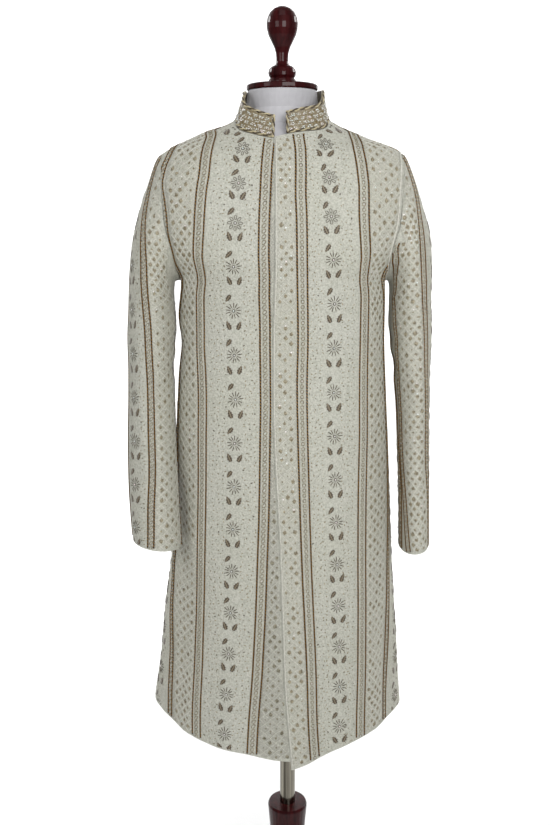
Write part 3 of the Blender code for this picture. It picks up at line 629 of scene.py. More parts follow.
def studio():
    """A pale sweep of paper for floor and wall, five soft lights and a dim pale sky."""
    for box in SOFTBOXES:
        softbox(*box)
    world = bpy.data.worlds.new("studio")
    world.use_nodes = True
    sky = world.node_tree.nodes["Background"]
    sky.inputs["Color"].default_value = linear("#F6F6F7")
    sky.inputs["Strength"].default_value = SKY_STRENGTH
    bpy.context.scene.world = world
    profile = [(PAPER_FRONT, PAPER_Z)]
    for turn in np.linspace(0, np.pi / 2, 17):
        profile.append((PAPER_BEND + PAPER_RADIUS * math.sin(turn),
                        PAPER_RADIUS * (1 - math.cos(turn)) + PAPER_Z))
    profile.append((PAPER_BEND + PAPER_RADIUS, PAPER_TOP))
    points = [(x, y, z) for y, z in profile for x in (-PAPER_HALF_WIDTH, PAPER_HALF_WIDTH)]
    faces = triangles(grid_faces(len(profile), 2)[:, ::-1])
    paper, tree, shader = material("matt white background paper", 0.9)
    grain = node(tree, "ShaderNodeTexNoise", in_Scale=PAPER_GRAIN, in_Detail=3.0)
    fibres = node(tree, "ShaderNodeBump", {"Height": grain.outputs["Fac"]},
                  in_Strength=0.05, in_Distance=0.0005)
    tree.links.new(fibres.outputs["Normal"], shader.inputs["Normal"])
    shader.inputs["Base Color"].default_value = linear("#E8E8E8")
    mesh = bpy.data.meshes.new("floor")
    mesh.from_pydata(points, [], faces.tolist())
    mesh.shade_smooth()
    mesh.materials.append(paper)
    floor = bpy.data.objects.new("floor", mesh)
    bpy.context.scene.collection.objects.link(floor)


# ---------------------------------------------------------------- materials
# pattern scales, each with the size that it draws: noise changes over 1 / scale metres and
# a wave repeats every pi / (10 x scale) metres
WEAVE_SCALE = 310.0      # threads 1 mm apart, twice the real ones, so that they show
PUCKER_SCALE = 300.0     # puckers of 3.3 mm
PUCKER_STRETCH = (1.0, 1.0, 0.55)      # longer up the cloth than across it
SLUB_SCALE = 380.0       # slubs of 2.6 mm
DYE_SCALE = 9.0          # dye that shifts over 110 mm
COUCHING_SCALE = 520.0   # stitches of 1.9 mm
RIB_SCALE = 260.0        # knitted ribs 1.2 mm apart
LINT_SCALE = 90.0        # paler and darker yarn over 11 mm
GRAIN_STRETCH = (26.0, 26.0, 3.2)      # wood grain eight times as long as wide
GRAIN_SCALE = 3.0        # with the stretch: figure 13 mm wide
PORE_SCALE = 38.0        # with the stretch: pores 1 mm wide
REFLECTION_AND_DRAWN_STREAK_STRETCH = (150.0, 150.0, 2.5)   # streaks 7 mm wide and 0.4 m long: painted reflections in the colour, drawing streaks in the bump
PLY_SCALE = 80.0         # a turn of the twist each 3.9 mm
FILAMENT_SCALE = 900.0   # glints of 1.1 mm, ten times a filament's, so that they show
FLOSS_SCALE = 380.0      # tones that shift over 2.6 mm
STITCH_WAVES = 1700.0    # radians a metre: a bundle of stitches each 3.7 mm
LUSTRE_SCALE = 75.0      # tints that shift over 13 mm, from pearl to pearl
RUB_SCALE = 260.0        # rubbed places of 3.8 mm


def silk(name, dark, light):
    """Raw silk quilted to its interlining: slubs, puckers a few millimetres across, low sheen."""
    made, tree, shader = material(name, 0.7, Sheen_Weight=0.15, Sheen_Roughness=0.45,
                                  Sheen_Tint=linear("#FFF6E0"), Specular_IOR_Level=0.35)
    place = node(tree, "ShaderNodeUVMap", uv_map="cloth").outputs["UV"]
    solid = node(tree, "ShaderNodeTexCoord").outputs["Object"]
    weft = node(tree, "ShaderNodeTexWave", {"Vector": place}, bands_direction="Y",
                in_Scale=WEAVE_SCALE, in_Distortion=1.2, in_Detail=2.0, in_Detail_Scale=1.5)
    warp = node(tree, "ShaderNodeTexWave", {"Vector": place}, bands_direction="X",
                in_Scale=WEAVE_SCALE, in_Distortion=1.2, in_Detail=2.0, in_Detail_Scale=1.5)
    weave = node(tree, "ShaderNodeMath", {0: weft.outputs["Fac"], 1: warp.outputs["Fac"]},
                 operation="MAXIMUM")
    drawn = node(tree, "ShaderNodeMapping", {"Vector": solid}, in_Scale=PUCKER_STRETCH)
    pucker = node(tree, "ShaderNodeTexNoise", {"Vector": drawn.outputs["Vector"]},
                  in_Scale=PUCKER_SCALE, in_Detail=2.0, in_Roughness=0.55)
    slub = node(tree, "ShaderNodeTexNoise", {"Vector": solid}, in_Scale=SLUB_SCALE,
                in_Detail=3.0, in_Roughness=0.6)
    tone = node(tree, "ShaderNodeTexNoise", {"Vector": solid}, in_Scale=DYE_SCALE, in_Detail=1.0)
    colour = node(tree, "ShaderNodeValToRGB", {"Fac": slub.outputs["Fac"]})
    low, high = colour.color_ramp.elements
    low.position, high.position = 0.36, 0.60
    low.color, high.color = linear(dark), linear(light)
    warm = node(tree, "ShaderNodeMix", {"Factor": tone.outputs["Fac"],
                                        "A": colour.outputs["Color"]},
                data_type="RGBA", blend_type="MULTIPLY")
    warm.inputs["B"].default_value = linear("#F6F6F0")
    tree.links.new(warm.outputs["Result"], shader.inputs["Base Color"])
    thread_bump = node(tree, "ShaderNodeBump", {"Height": weave.outputs["Value"]},
                       in_Strength=0.35, in_Distance=0.00025)
    pucker_bump = node(tree, "ShaderNodeBump", {"Height": pucker.outputs["Fac"],
                                                "Normal": thread_bump.outputs["Normal"]},
                       in_Strength=0.8, in_Distance=0.0022)
    tree.links.new(pucker_bump.outputs["Normal"], shader.inputs["Normal"])
    return made


def bead_ground():
    """Dense zari couching under the collar's beads: short gold and beige stitches."""
    made, tree, shader = material("zari couching", 0.45, Sheen_Weight=0.2)
    solid = node(tree, "ShaderNodeTexCoord").outputs["Object"]
    stitch = node(tree, "ShaderNodeTexVoronoi", {"Vector": solid}, in_Scale=COUCHING_SCALE)
    colour = node(tree, "ShaderNodeValToRGB", {"Fac": stitch.outputs["Distance"]})
    low, high = colour.color_ramp.elements
    low.color, high.color = linear("#9C9177"), linear("#655A42")
    tree.links.new(colour.outputs["Color"], shader.inputs["Base Color"])
    bump = node(tree, "ShaderNodeBump", {"Height": stitch.outputs["Distance"]},
                in_Strength=0.6, in_Distance=0.0006)
    tree.links.new(bump.outputs["Normal"], shader.inputs["Normal"])
    return made


def jersey():
    """Grey cotton jersey stretched over the form: fine knitted ribs, matt."""
    made, tree, shader = material("grey cotton jersey", 0.85, Sheen_Weight=0.25)
    solid = node(tree, "ShaderNodeTexCoord").outputs["Object"]
    ribs = node(tree, "ShaderNodeTexWave", {"Vector": solid}, bands_direction="Z",
                in_Scale=RIB_SCALE, in_Distortion=0.6, in_Detail=1.0)
    lint = node(tree, "ShaderNodeTexNoise", {"Vector": solid}, in_Scale=LINT_SCALE, in_Detail=4.0)
    colour = node(tree, "ShaderNodeValToRGB", {"Fac": lint.outputs["Fac"]})
    low, high = colour.color_ramp.elements
    low.color, high.color = linear("#AFAEB2"), linear("#C4C3C6")
    tree.links.new(colour.outputs["Color"], shader.inputs["Base Color"])
    bump = node(tree, "ShaderNodeBump", {"Height": ribs.outputs["Fac"]},
                in_Strength=0.3, in_Distance=0.0003)
    tree.links.new(bump.outputs["Normal"], shader.inputs["Normal"])
    return made


def mahogany():
    """Turned mahogany under gloss varnish: dark red, grain drawn out along the height."""
    made, tree, shader = material("varnished mahogany", 0.38, Coat_Weight=0.35,
                                  Coat_Roughness=0.06, Specular_IOR_Level=0.05)
    solid = node(tree, "ShaderNodeTexCoord").outputs["Object"]
    drawn = node(tree, "ShaderNodeMapping", {"Vector": solid}, in_Scale=GRAIN_STRETCH)
    grain = node(tree, "ShaderNodeTexNoise", {"Vector": drawn.outputs["Vector"]},
                 in_Scale=GRAIN_SCALE, in_Detail=8.0, in_Roughness=0.62, in_Distortion=0.6)
    pores = node(tree, "ShaderNodeTexNoise", {"Vector": drawn.outputs["Vector"]},
                 in_Scale=PORE_SCALE, in_Detail=3.0)
    colour = node(tree, "ShaderNodeValToRGB", {"Fac": grain.outputs["Fac"]})
    low, high = colour.color_ramp.elements
    low.position, high.position = 0.3, 0.72
    low.color, high.color = linear("#1C0506"), linear("#431214")
    tree.links.new(colour.outputs["Color"], shader.inputs["Base Color"])
    bump = node(tree, "ShaderNodeBump", {"Height": pores.outputs["Fac"]},
                in_Strength=0.12, in_Distance=0.0002)
    tree.links.new(bump.outputs["Normal"], shader.inputs["Normal"])
    return made


def chrome():
    """Satin chrome on drawn tube: dark and pale streaks down its length, painted into its colour as
    reflections and also a faint bump; soft reflections.
    """
    made, tree, shader = material("satin chrome on steel tube", 0.16, Metallic=1.0)
    solid = node(tree, "ShaderNodeTexCoord").outputs["Object"]
    drawn = node(tree, "ShaderNodeMapping", {"Vector": solid}, in_Scale=REFLECTION_AND_DRAWN_STREAK_STRETCH)
    reflection_and_drawn_streak = node(tree, "ShaderNodeTexNoise", {"Vector": drawn.outputs["Vector"]},
                  in_Scale=1.0, in_Detail=3.0)
    # painted reflections: the streaks darken and lighten the chrome's colour
    colour = node(tree, "ShaderNodeValToRGB", {"Fac": reflection_and_drawn_streak.outputs["Fac"]})
    low, high = colour.color_ramp.elements
    low.position, high.position = 0.35, 0.65
    low.color, high.color = linear("#4B473F"), linear("#9C978A")
    tree.links.new(colour.outputs["Color"], shader.inputs["Base Color"])
    bump = node(tree, "ShaderNodeBump", {"Height": reflection_and_drawn_streak.outputs["Fac"]},
                in_Strength=0.08, in_Distance=0.0001)
    tree.links.new(bump.outputs["Normal"], shader.inputs["Normal"])
    return made


def twist():
    """Zari twist: brown silk and gilt wire plied at about 4 mm, the wire bright at each turn."""
    made, tree, shader = material("brown silk and gilt twist", 0.55, Specular_IOR_Level=0.2)
    place = node(tree, "ShaderNodeUVMap", uv_map="cloth").outputs["UV"]
    leaned = node(tree, "ShaderNodeMapping", {"Vector": place}, in_Rotation=(0.0, 0.0, 0.72))
    ply = node(tree, "ShaderNodeTexWave", {"Vector": leaned.outputs["Vector"]},
               bands_direction="X", in_Scale=PLY_SCALE, in_Distortion=0.8, in_Detail=1.0)
    colour = node(tree, "ShaderNodeValToRGB", {"Fac": ply.outputs["Fac"]})
    low, high = colour.color_ramp.elements
    low.position, high.position = 0.62, 0.90
    low.color, high.color = linear("#170E06"), linear("#A27A3C")
    tree.links.new(colour.outputs["Color"], shader.inputs["Base Color"])
    bump = node(tree, "ShaderNodeBump", {"Height": ply.outputs["Fac"]},
                in_Strength=0.6, in_Distance=0.0004)
    tree.links.new(bump.outputs["Normal"], shader.inputs["Normal"])
    return made


def floss(name, dark, light, roughness, sheen):
    """Twisted embroidery silk: fine glints on tones that shift along the thread."""
    made, tree, shader = material(name, roughness, Sheen_Weight=sheen, Sheen_Roughness=0.35)
    solid = node(tree, "ShaderNodeTexCoord").outputs["Object"]
    strands = node(tree, "ShaderNodeTexNoise", {"Vector": solid}, in_Scale=FILAMENT_SCALE,
                   in_Detail=2.0)
    shade = node(tree, "ShaderNodeTexNoise", {"Vector": solid}, in_Scale=FLOSS_SCALE,
                 in_Detail=3.0)
    colour = node(tree, "ShaderNodeValToRGB", {"Fac": shade.outputs["Fac"]})
    low, high = colour.color_ramp.elements
    low.position, high.position = 0.35, 0.65
    low.color, high.color = linear(dark), linear(light)
    tree.links.new(colour.outputs["Color"], shader.inputs["Base Color"])
    bump = node(tree, "ShaderNodeBump", {"Height": strands.outputs["Fac"]},
                in_Strength=0.5, in_Distance=0.0003)
    tree.links.new(bump.outputs["Normal"], shader.inputs["Normal"])
    return made


def leaf_thread():
    """Brown satin stitch laid slanting from a pale vein, in bundles of a few threads."""
    made, tree, shader = material("brown satin stitch", 0.5, Sheen_Weight=0.4)
    place = node(tree, "ShaderNodeUVMap", uv_map="cloth").outputs["UV"]
    parts = node(tree, "ShaderNodeSeparateXYZ", {"Vector": place})
    aside_vein = node(tree, "ShaderNodeMath", {0: parts.outputs["X"]}, operation="ABSOLUTE")
    slant = node(tree, "ShaderNodeMath", {0: aside_vein.outputs["Value"], 1: parts.outputs["Y"]},
                 operation="SUBTRACT")
    stitches = node(tree, "ShaderNodeMath", {0: slant.outputs["Value"]}, operation="MULTIPLY")
    stitches.inputs[1].default_value = STITCH_WAVES
    wave = node(tree, "ShaderNodeMath", {0: stitches.outputs["Value"]}, operation="SINE")
    vein = node(tree, "ShaderNodeMapRange", {"Value": aside_vein.outputs["Value"]},
                in_From_Min=0.0002, in_From_Max=0.0009)
    body = node(tree, "ShaderNodeMapRange", {"Value": wave.outputs["Value"]}, in_From_Min=-1.0,
                in_From_Max=1.0)
    brown = node(tree, "ShaderNodeValToRGB", {"Fac": body.outputs["Result"]})
    low, high = brown.color_ramp.elements
    low.color, high.color = linear("#1B120A"), linear("#6B5C46")
    colour = node(tree, "ShaderNodeMix", {"Factor": vein.outputs["Result"],
                                          "B": brown.outputs["Color"]}, data_type="RGBA")
    colour.inputs["A"].default_value = linear("#8C8169")
    tree.links.new(colour.outputs["Result"], shader.inputs["Base Color"])
    bump = node(tree, "ShaderNodeBump", {"Height": wave.outputs["Value"]},
                in_Strength=0.4, in_Distance=0.0003)
    tree.links.new(bump.outputs["Normal"], shader.inputs["Normal"])
    return made


def pearl():
    """Glass pearls: milky, under a thin coat that throws a little pink and green."""
    made, tree, shader = material("glass pearl", 0.16, Coat_Weight=0.8, Coat_Roughness=0.05,
                                  Specular_IOR_Level=0.7)
    solid = node(tree, "ShaderNodeTexCoord").outputs["Object"]
    patch = node(tree, "ShaderNodeTexNoise", {"Vector": solid}, in_Scale=LUSTRE_SCALE,
                 in_Detail=1.0)
    colour = node(tree, "ShaderNodeValToRGB", {"Fac": patch.outputs["Fac"]})
    low, high = colour.color_ramp.elements
    low.position, high.position = 0.38, 0.66
    low.color, high.color = linear("#D9E2DE"), linear("#F2E6E4")
    tree.links.new(colour.outputs["Color"], shader.inputs["Base Color"])
    return made


def gilt_bead():
    """Gilt brass beads, old gold, rubbed brighter here and there."""
    made, tree, shader = material("gilt brass bead", 0.28, Metallic=1.0)
    solid = node(tree, "ShaderNodeTexCoord").outputs["Object"]
    rub = node(tree, "ShaderNodeTexNoise", {"Vector": solid}, in_Scale=RUB_SCALE, in_Detail=2.0)
    colour = node(tree, "ShaderNodeValToRGB", {"Fac": rub.outputs["Fac"]})
    low, high = colour.color_ramp.elements
    low.color, high.color = linear("#6E5A33"), linear("#A8925F")
    tree.links.new(colour.outputs["Color"], shader.inputs["Base Color"])
    return made


# ---------------------------------------------------------------- cloth pieces
def panel_points(panel):
    """A panel's grid of outer points and its cloth coordinates."""
    if panel == "back":
        left, right = panel_grid("back", 1), panel_grid("back", -1)
        turn = np.concatenate((left[0][:, :0:-1], right[0]), axis=1)
        z = np.concatenate((left[1][:, :0:-1], right[1]), axis=1)
    else:
        turn, z = panel_grid(panel, 1 if panel == "left" else -1)
        if panel == "right":
            turn, z = turn[:, ::-1], z[:, ::-1]
    points = panel_face(panel)(turn, z)
    flat = level_point(turn, z)
    across = np.linalg.norm(np.diff(flat, axis=1, prepend=flat[:, :1])[..., :2], axis=-1)
    across = np.cumsum(across, axis=1)
    along = np.cumsum(np.linalg.norm(np.diff(flat, axis=0, prepend=flat[:1]), axis=-1), axis=0)
    middle = np.argmin(np.abs(np.abs(turn[0]) - (180 if panel == "back" else 0)))
    return points, np.stack((across - across[:, middle:middle + 1], along), -1)


def dress():
    """The six cloth pieces; returns them by name."""
    ground = silk("ivory raw silk on interlining", "#A6A69B", "#C5C5BC")
    couching = bead_ground()
    pieces = {}
    for panel, name in (("right", "front_right"), ("left", "front_left"), ("back", "back")):
        points, uv = panel_points(panel)
        faces = grid_faces(*points.shape[:2])
        pieces[name] = cloth_shell(f"{name}_silk", points, faces, uv, WALL, ground,
                                   "embroidered_silk", name)
    for side, table, name in ((-1, SLEEVE_RIGHT, "sleeve_right"), (1, SLEEVE_LEFT, "sleeve_left")):
        columns = 2 * ARM_STEPS
        turn = np.arange(columns) * 360.0 / columns
        station = np.linspace(0.0, len(table), SLEEVE_ROWS)[:, None] * np.ones(columns)
        points = sleeve_face(side, table)(turn[None, :], station)
        along = np.cumsum(np.linalg.norm(np.diff(points, axis=0, prepend=points[:1]), axis=-1), 0)
        uv = np.stack((np.broadcast_to(turn / 360.0 * TUBE_GIRTH, along.shape), -along), -1)
        faces = grid_faces(SLEEVE_ROWS, columns, closed=True)
        if side < 0:
            faces = faces[:, ::-1]
        pieces[name] = cloth_shell(f"{name}_silk", points, faces, uv, WALL, ground,
                                   "embroidered_silk", name)
    angle = np.linspace(COLLAR_START, COLLAR_END, COLLAR_COLUMNS)
    share = np.linspace(0.0, 1.0, COLLAR_ROWS)[:, None]
    points = collar_face(angle[None, :], share)
    uv = np.stack(np.broadcast_arrays(angle / 360.0 * TUBE_GIRTH, share * COLLAR_BAND), -1)
    pieces["collar"] = cloth_shell("collar_band", points, grid_faces(COLLAR_ROWS, COLLAR_COLUMNS),
                                   uv, COLLAR_WALL, couching, "beaded_band", "collar")
    return pieces


# ---------------------------------------------------------------- places on the cloth
LINE_POINTS = 900        # points of a line from hem to neck
LOOK_AHEAD = 0.003       # a line's direction is taken this far to either side
ROW_STEP = 0.0015        # and the cloth's slope this far up and down


Spots = namedtuple("Spots", "turn row right forward")


class Cloth:
    """A cloth face whose places are a turn in degrees and a row that grows upwards."""

    def __init__(self, face, row_step, outward, inside):
        self.face, self.row_step, self.outward, self.inside = face, row_step, outward, inside

    def slopes(self, turn, row):
        """Directions of the face per degree and per row, and its outward normal."""
        turn_step, row_step = 0.3, self.row_step
        across = self.face(turn + turn_step, row) - self.face(turn - turn_step, row)
        up = self.face(turn, row + row_step) - self.face(turn, row - row_step)
        across, up = across / (2 * turn_step), up / (2 * row_step)
        return across, up, unit(np.cross(across, up)) * self.outward

    def spots(self, turn, row, turn_run, row_run):
        """Places with their local axes: one metre to the right and one metre forward."""
        across, up, normal = self.slopes(turn, row)
        forward = unit(across * turn_run[..., None] + up * row_run[..., None])
        right = np.cross(forward, normal)
        a, b, c = (across * across).sum(-1), (across * up).sum(-1), (up * up).sum(-1)

        def in_turns(step):
            p, q = (across * step).sum(-1), (up * step).sum(-1)
            return (c * p - b * q) / (a * c - b * b), (a * q - b * p) / (a * c - b * b)

        return Spots(turn, row, in_turns(right), in_turns(forward))


def pick(spots, chosen):
    """The chosen ones of these spots."""
    return Spots(spots.turn[chosen], spots.row[chosen], tuple(v[chosen] for v in spots.right),
                 tuple(v[chosen] for v in spots.forward))


def around(spots, x, y):
    """Turn and row of offsets x to the right and y forward of each spot."""
    return tuple(spots[k][..., None] + x * spots.right[k][..., None]
                 + y * spots.forward[k][..., None] for k in (0, 1))


class Path:
    """A line up the cloth, measured in metres from its lower end."""

    def __init__(self, cloth, turn, row):
        self.cloth, self.turn, self.row = cloth, turn, row
        step = np.linalg.norm(np.diff(cloth.face(turn, row), axis=0), axis=1)
        self.run = np.concatenate(((0.0,), np.cumsum(step)))
        self.length = self.run[-1]

    def at(self, s):
        """Turn and row at lengths s."""
        return np.interp(s, self.run, self.turn), np.interp(s, self.run, self.row)

    def spots(self, s):
        """Spots at lengths s, forward along the line."""
        turn, row = self.at(s)
        turn_up, row_up = self.at(s + LOOK_AHEAD)
        turn_down, row_down = self.at(s - LOOK_AHEAD)
        return self.cloth.spots(turn, row, turn_up - turn_down, row_up - row_down)


def traced(cloth, line, low, high, points=LINE_POINTS):
    """The path of a line given as turn by row, between two rows."""
    row = np.linspace(low, high, points)
    return Path(cloth, line(row), row)


class Strip:
    """The cloth between two lines given as turn by row."""

    def __init__(self, cloth, left, right, low, high):
        self.cloth, self.left, self.right = cloth, left, right
        self.middle = traced(cloth, lambda row: (left(row) + right(row)) / 2, low, high)
        self.length = self.middle.length

    def at(self, share, s):
        """Turn and row at a share across, 0 at the left line, and a length s up."""
        row = self.middle.at(s)[1]
        return self.left(row) * (1 - share) + self.right(row) * share, row

    def spots(self, share, s):
        """Spots at these places, forward along the strip."""
        turn, row = self.at(share, s)
        turn_up, row_up = self.at(share, s + LOOK_AHEAD)
        turn_down, row_down = self.at(share, s - LOOK_AHEAD)
        return self.cloth.spots(turn, row, turn_up - turn_down, row_up - row_down)

    def line(self, share):
        """The line at a share across."""
        turn, row = self.at(share, np.linspace(0, self.length, LINE_POINTS))
        return Path(self.cloth, turn, row)


# ---------------------------------------------------------------- embroidery stitches
CORD_STEP, BAND_STEP = 0.004, 0.006      # from one ring of points to the next


def turned(x, y, angle):
    """Offsets turned by an angle in degrees."""
    sine, cosine = np.sin(np.radians(angle)), np.cos(np.radians(angle))
    return x * cosine - y * sine, x * sine + y * cosine


def tubes(pile, cloth, turn, row, lift, radius, sides=6, closed=False, flat=0.8, kept=None):
    """Cords along the cloth, one for each line of the arrays turn and row.

    kept says which points stay; by default those inside the cloth's edge.
    """
    lines, steps = turn.shape
    points = cloth.face(turn, row, lift)
    normal = cloth.slopes(turn, row)[2]
    if closed:
        ahead = np.roll(points, -1, 1) - np.roll(points, 1, 1)
    else:
        ahead = np.gradient(points, axis=1)
    right = unit(np.cross(unit(ahead), normal))
    theta = 2 * np.pi * np.arange(sides) / sides
    rings = (points[:, :, None] + radius * (np.cos(theta)[:, None] * right[:, :, None]
                                            + flat * np.sin(theta)[:, None] * normal[:, :, None]))
    step = np.linalg.norm(np.diff(points, axis=1, prepend=points[:, :1]), axis=-1)
    run = np.cumsum(step, axis=1)
    uv = np.stack(np.broadcast_arrays(run[:, :, None], radius * theta), -1)
    faces = grid_faces(steps, sides, closed=True)[:, ::-1]
    if closed:
        last = np.arange(sides)
        after = (last + 1) % sides
        top = (steps - 1) * sides
        faces = np.concatenate((faces, np.stack((top + last, last, after, top + after), -1)))
    faces = triangles(faces)
    if not closed:
        cap = np.array([(0, k, k + 1) for k in range(1, sides - 1)])
        faces = np.concatenate((faces, cap, cap[:, ::-1] + (steps - 1) * sides))
    faces = faces[None] + (np.arange(lines) * steps * sides)[:, None, None]
    kept = cloth.inside(turn, row) if kept is None else kept
    ring_kept = np.repeat(kept[:, :, None], sides, 2).reshape(-1)
    pile.add(rings, faces[ring_kept[faces].all(-1)].reshape(-1, 3), uv)


def cord(pile, path, offset, lift, radius, sides=6):
    """One cord this far to the right of a line, cut where the cloth ends."""
    s = np.arange(0, path.length, CORD_STEP)
    turn, row = around(path.spots(s), np.array((offset,)), 0.0)
    turn, row = turn[:, 0], row[:, 0]
    kept = path.cloth.inside(turn, row)
    if kept.sum() > 3:
        tubes(pile, path.cloth, turn[kept][None], row[kept][None], lift, radius, sides,
              kept=kept[kept][None])


def ribbon(pile, path, half_width, rise):
    """A padded band along a line, cut where the cloth ends."""
    s = np.arange(0, path.length, BAND_STEP)
    across = np.array((-1.0, -0.8, 0.0, 0.8, 1.0))
    lift = rise * np.array((0.25, 0.9, 1.0, 0.9, 0.25))
    turn, row = around(path.spots(s), across * half_width, 0.0)
    points = path.cloth.face(turn, row, lift)
    faces = triangles(grid_faces(len(s), len(across))[:, ::-1])
    kept = path.cloth.inside(turn, row).reshape(-1)
    uv = np.stack(np.broadcast_arrays(across * half_width, s[:, None]), -1)
    pile.add(points, faces[kept[faces].all(-1)], uv)


def copies(pile, cloth, spots, shape, angle=0.0, scale=1.0, x=0.0, y=0.0, lift=0.0, whole=True):
    """One small shape laid on each spot, turned, scaled and moved x right and y forward.

    shape is its points (right, forward, up) and its triangles. Copies that cross the
    cloth's edge are left out whole, or else cut.
    """
    points, faces = shape
    angle, scale, x, y = (np.broadcast_to(value, spots.turn.shape)[:, None]
                          for value in (angle, scale, x, y))
    right, forward = turned(points[:, 0], points[:, 1], angle)
    turn, row = around(spots, x + scale * right, y + scale * forward)
    kept = cloth.inside(turn, row)
    if whole:
        kept = np.broadcast_to(kept.all(1)[:, None], kept.shape)
    placed = cloth.face(turn, row, scale * points[:, 2] + lift)
    every = faces[None] + (np.arange(len(turn)) * len(points))[:, None, None]
    every = every.reshape(-1, faces.shape[1])
    uv = np.broadcast_to(points[:, :2], turn.shape + (2,))
    pile.add(placed, every[kept.reshape(-1)[every].all(-1)], uv)


def mm(*rows):
    """Points given in millimetres."""
    return np.array(rows, float) / 1000


def fan(outline, top):
    """A raised patch: an outline on the cloth and a top point, as triangles."""
    points = np.concatenate((outline, top[None]))
    n = len(outline)
    return points, np.array([(k, (k + 1) % n, n) for k in range(n)])


def ball(radius, rings=4, sides=8):
    """A bead lying on the cloth, sunk by about a third of its radius."""
    sink = 0.35
    phi = np.linspace(0, np.pi, rings + 1)[1:-1]
    theta = 2 * np.pi * np.arange(sides) / sides
    ring = np.stack(np.broadcast_arrays(np.sin(phi)[:, None] * np.cos(theta),
                                        np.sin(phi)[:, None] * np.sin(theta),
                                        np.cos(phi)[:, None]), -1).reshape(-1, 3)
    points = np.concatenate((ring, ((0, 0, 1), (0, 0, -1)))) * radius
    points[:, 2] += radius * (1 - sink)
    top, bottom = len(ring), len(ring) + 1
    low = (rings - 2) * sides
    sides_faces = triangles(grid_faces(rings - 1, sides, closed=True)[:, ::-1])
    caps = [(k, (k + 1) % sides, top) for k in range(sides)]
    caps += [(low + (k + 1) % sides, low + k, bottom) for k in range(sides)]
    return points, np.concatenate((sides_faces, np.array(caps)))


def leaf_shape():
    """A leaf 16 mm long and 8 mm wide, fat below, its edge toothed and its vein sunk."""
    length, half_width, puff, thin = 0.0165, 0.0041, 0.0011, 0.0022
    tooth, notch = 1.18, 0.80
    share = np.linspace(0, 1, 9)
    width = half_width * np.sin(np.pi * share ** 0.72) ** 0.85
    width *= np.where(np.arange(9) % 2 == 1, tooth, notch)
    across = np.array((-1.0, -0.55, 0.0, 0.55, 1.0))
    height = np.array((0.15, 1.0, 0.55, 1.0, 0.15)) * puff
    y = (share - 0.45) * length
    full = np.minimum(1.0, width / thin)
    points = np.stack((width[:, None] * across, np.repeat(y[:, None], 5, 1),
                       full[:, None] * height + 0.0001), -1)
    return points.reshape(-1, 3), triangles(grid_faces(9, 5)[:, ::-1])


STITCH = fan(mm((0, 3.4, 0.1), (0.80, 8.0, 0.1), (0.60, 13.6, 0.1), (-0.60, 13.6, 0.1),
                (-0.80, 8.0, 0.1)), mm((0, 9.5, 1.0))[0])
LEAF = leaf_shape()
PEARL = ball(0.0015)
SEED = ball(0.0010, rings=3, sides=6)
BUD = fan(mm((0, -3.9, 0.8), (2.0, -2.3, 0.9), (3.5, 0.2, 0.8), (2.0, 1.9, 0.9), (0, 4.2, 0.8),
             (-2.0, 1.9, 0.9), (-3.5, 0.2, 0.8), (-2.0, -2.3, 0.9)), mm((0, -0.2, 2.0))[0])
SPECK = fan(mm((2.2, 0, 0.1), (0, 1.2, 0.1), (-2.2, 0, 0.1), (0, -1.2, 0.1)),
            mm((0, 0, 0.8))[0])
SEQUIN = fan(mm(*[(1.4 * math.cos(k * math.pi / 3), 1.4 * math.sin(k * math.pi / 3), 0.25)
                  for k in range(6)]), mm((0, 0, 0.6))[0])
CHAIN_PITCH = 0.0088     # rings between the paired cords
FIRST_RING = 0.004       # from the line's lower end
CORD_ASIDE = 0.0083      # each of the paired cords from the stripe's middle, on the body
SLEEVE_CORD_ASIDE = 0.0052
THIRD_CORD_ASIDE = 0.0045
PLAIN_CORD_INSET = 0.0023      # from a twisted cord in to the plain one
BAND_INSET, BAND_RISE = 0.0028, 0.0008
RING_INSET = 0.0034
RING_NARROW, RING_WIDE = 0.0008, 0.0026
Ring = namedtuple("Ring", "tilt half_length")
SLANTED_RING, UPRIGHT_RING = Ring(-38.0, 0.0040), Ring(0.0, 0.0031)
# threads, each by its middle's height over the cloth and its radius
TWISTED_CORD = (0.0009, 0.0013)
PLAIN_CORD = (0.0007, 0.0007)
EDGE_CORD, EDGE_CORD_ASIDE = (0.0010, 0.0014), 0.0026
PIPING, PIPING_TURN = (0.0012, 0.0016), 1.6    # that many degrees in from the armhole
RING_THREAD = (0.0012, 0.00075)
LATTICE_THREAD = (0.0009, 0.00078)
LOOP_THREAD = (0.0006, 0.00055)

CELL_HEIGHT = 0.0175     # diamonds of the lattice
LATTICE_CLEAR = 0.0015   # from the middle of the cord beside it
LATTICE_SWAY = 0.08      # how far a lattice thread strays, in half diamonds
DIAMOND_X = np.array((1, 0.5, 0, -0.5, -1, -0.5, 0, 0.5, 0))
DIAMOND_Y = np.array((0, 0.5, 1, 0.5, 0, -0.5, -1, -0.5, 0))
PUFF_RISE = np.array((0.3, 0.5, 0.3, 0.5, 0.3, 0.5, 0.3, 0.5, 1.35)) / 1000
BUD_TURN, BUD_SHIFT = 14, 0.0005         # a bud's usual stray turn and shift
BUD_SIZES = (0.75, 1.15)
WINGS = ((-0.0040, 55.0), (0.0040, -55.0))     # aside and turn of a bud's two side stitches
WING_UP = 0.0040
SEQUIN_UP = 0.0042

RAYS, PETALS = 13, 8     # of a rayed and of a looped flower
SHORT_RAY = 0.93         # every second ray
PETAL_MIDDLE, PETAL_WIDTH, PETAL_LENGTH = 0.0088, 0.0019, 0.0036
EYE_RADIUS = 0.0023
Leaf = namedtuple("Leaf", "x y angle size")
LEAVES = (Leaf(-0.0080, 0.0215, 143.0, 0.92), Leaf(-0.0088, -0.0255, 25.0, 1.0),
          Leaf(0.0088, -0.0255, -25.0, 1.0))
SMALL_LEAF = Leaf(-0.0118, 0.0172, 160.0, 0.34)
FLOWER_PITCH = 0.0742
SIDE_COLUMN = 0.038      # the flowers at the sides, from the third stripe

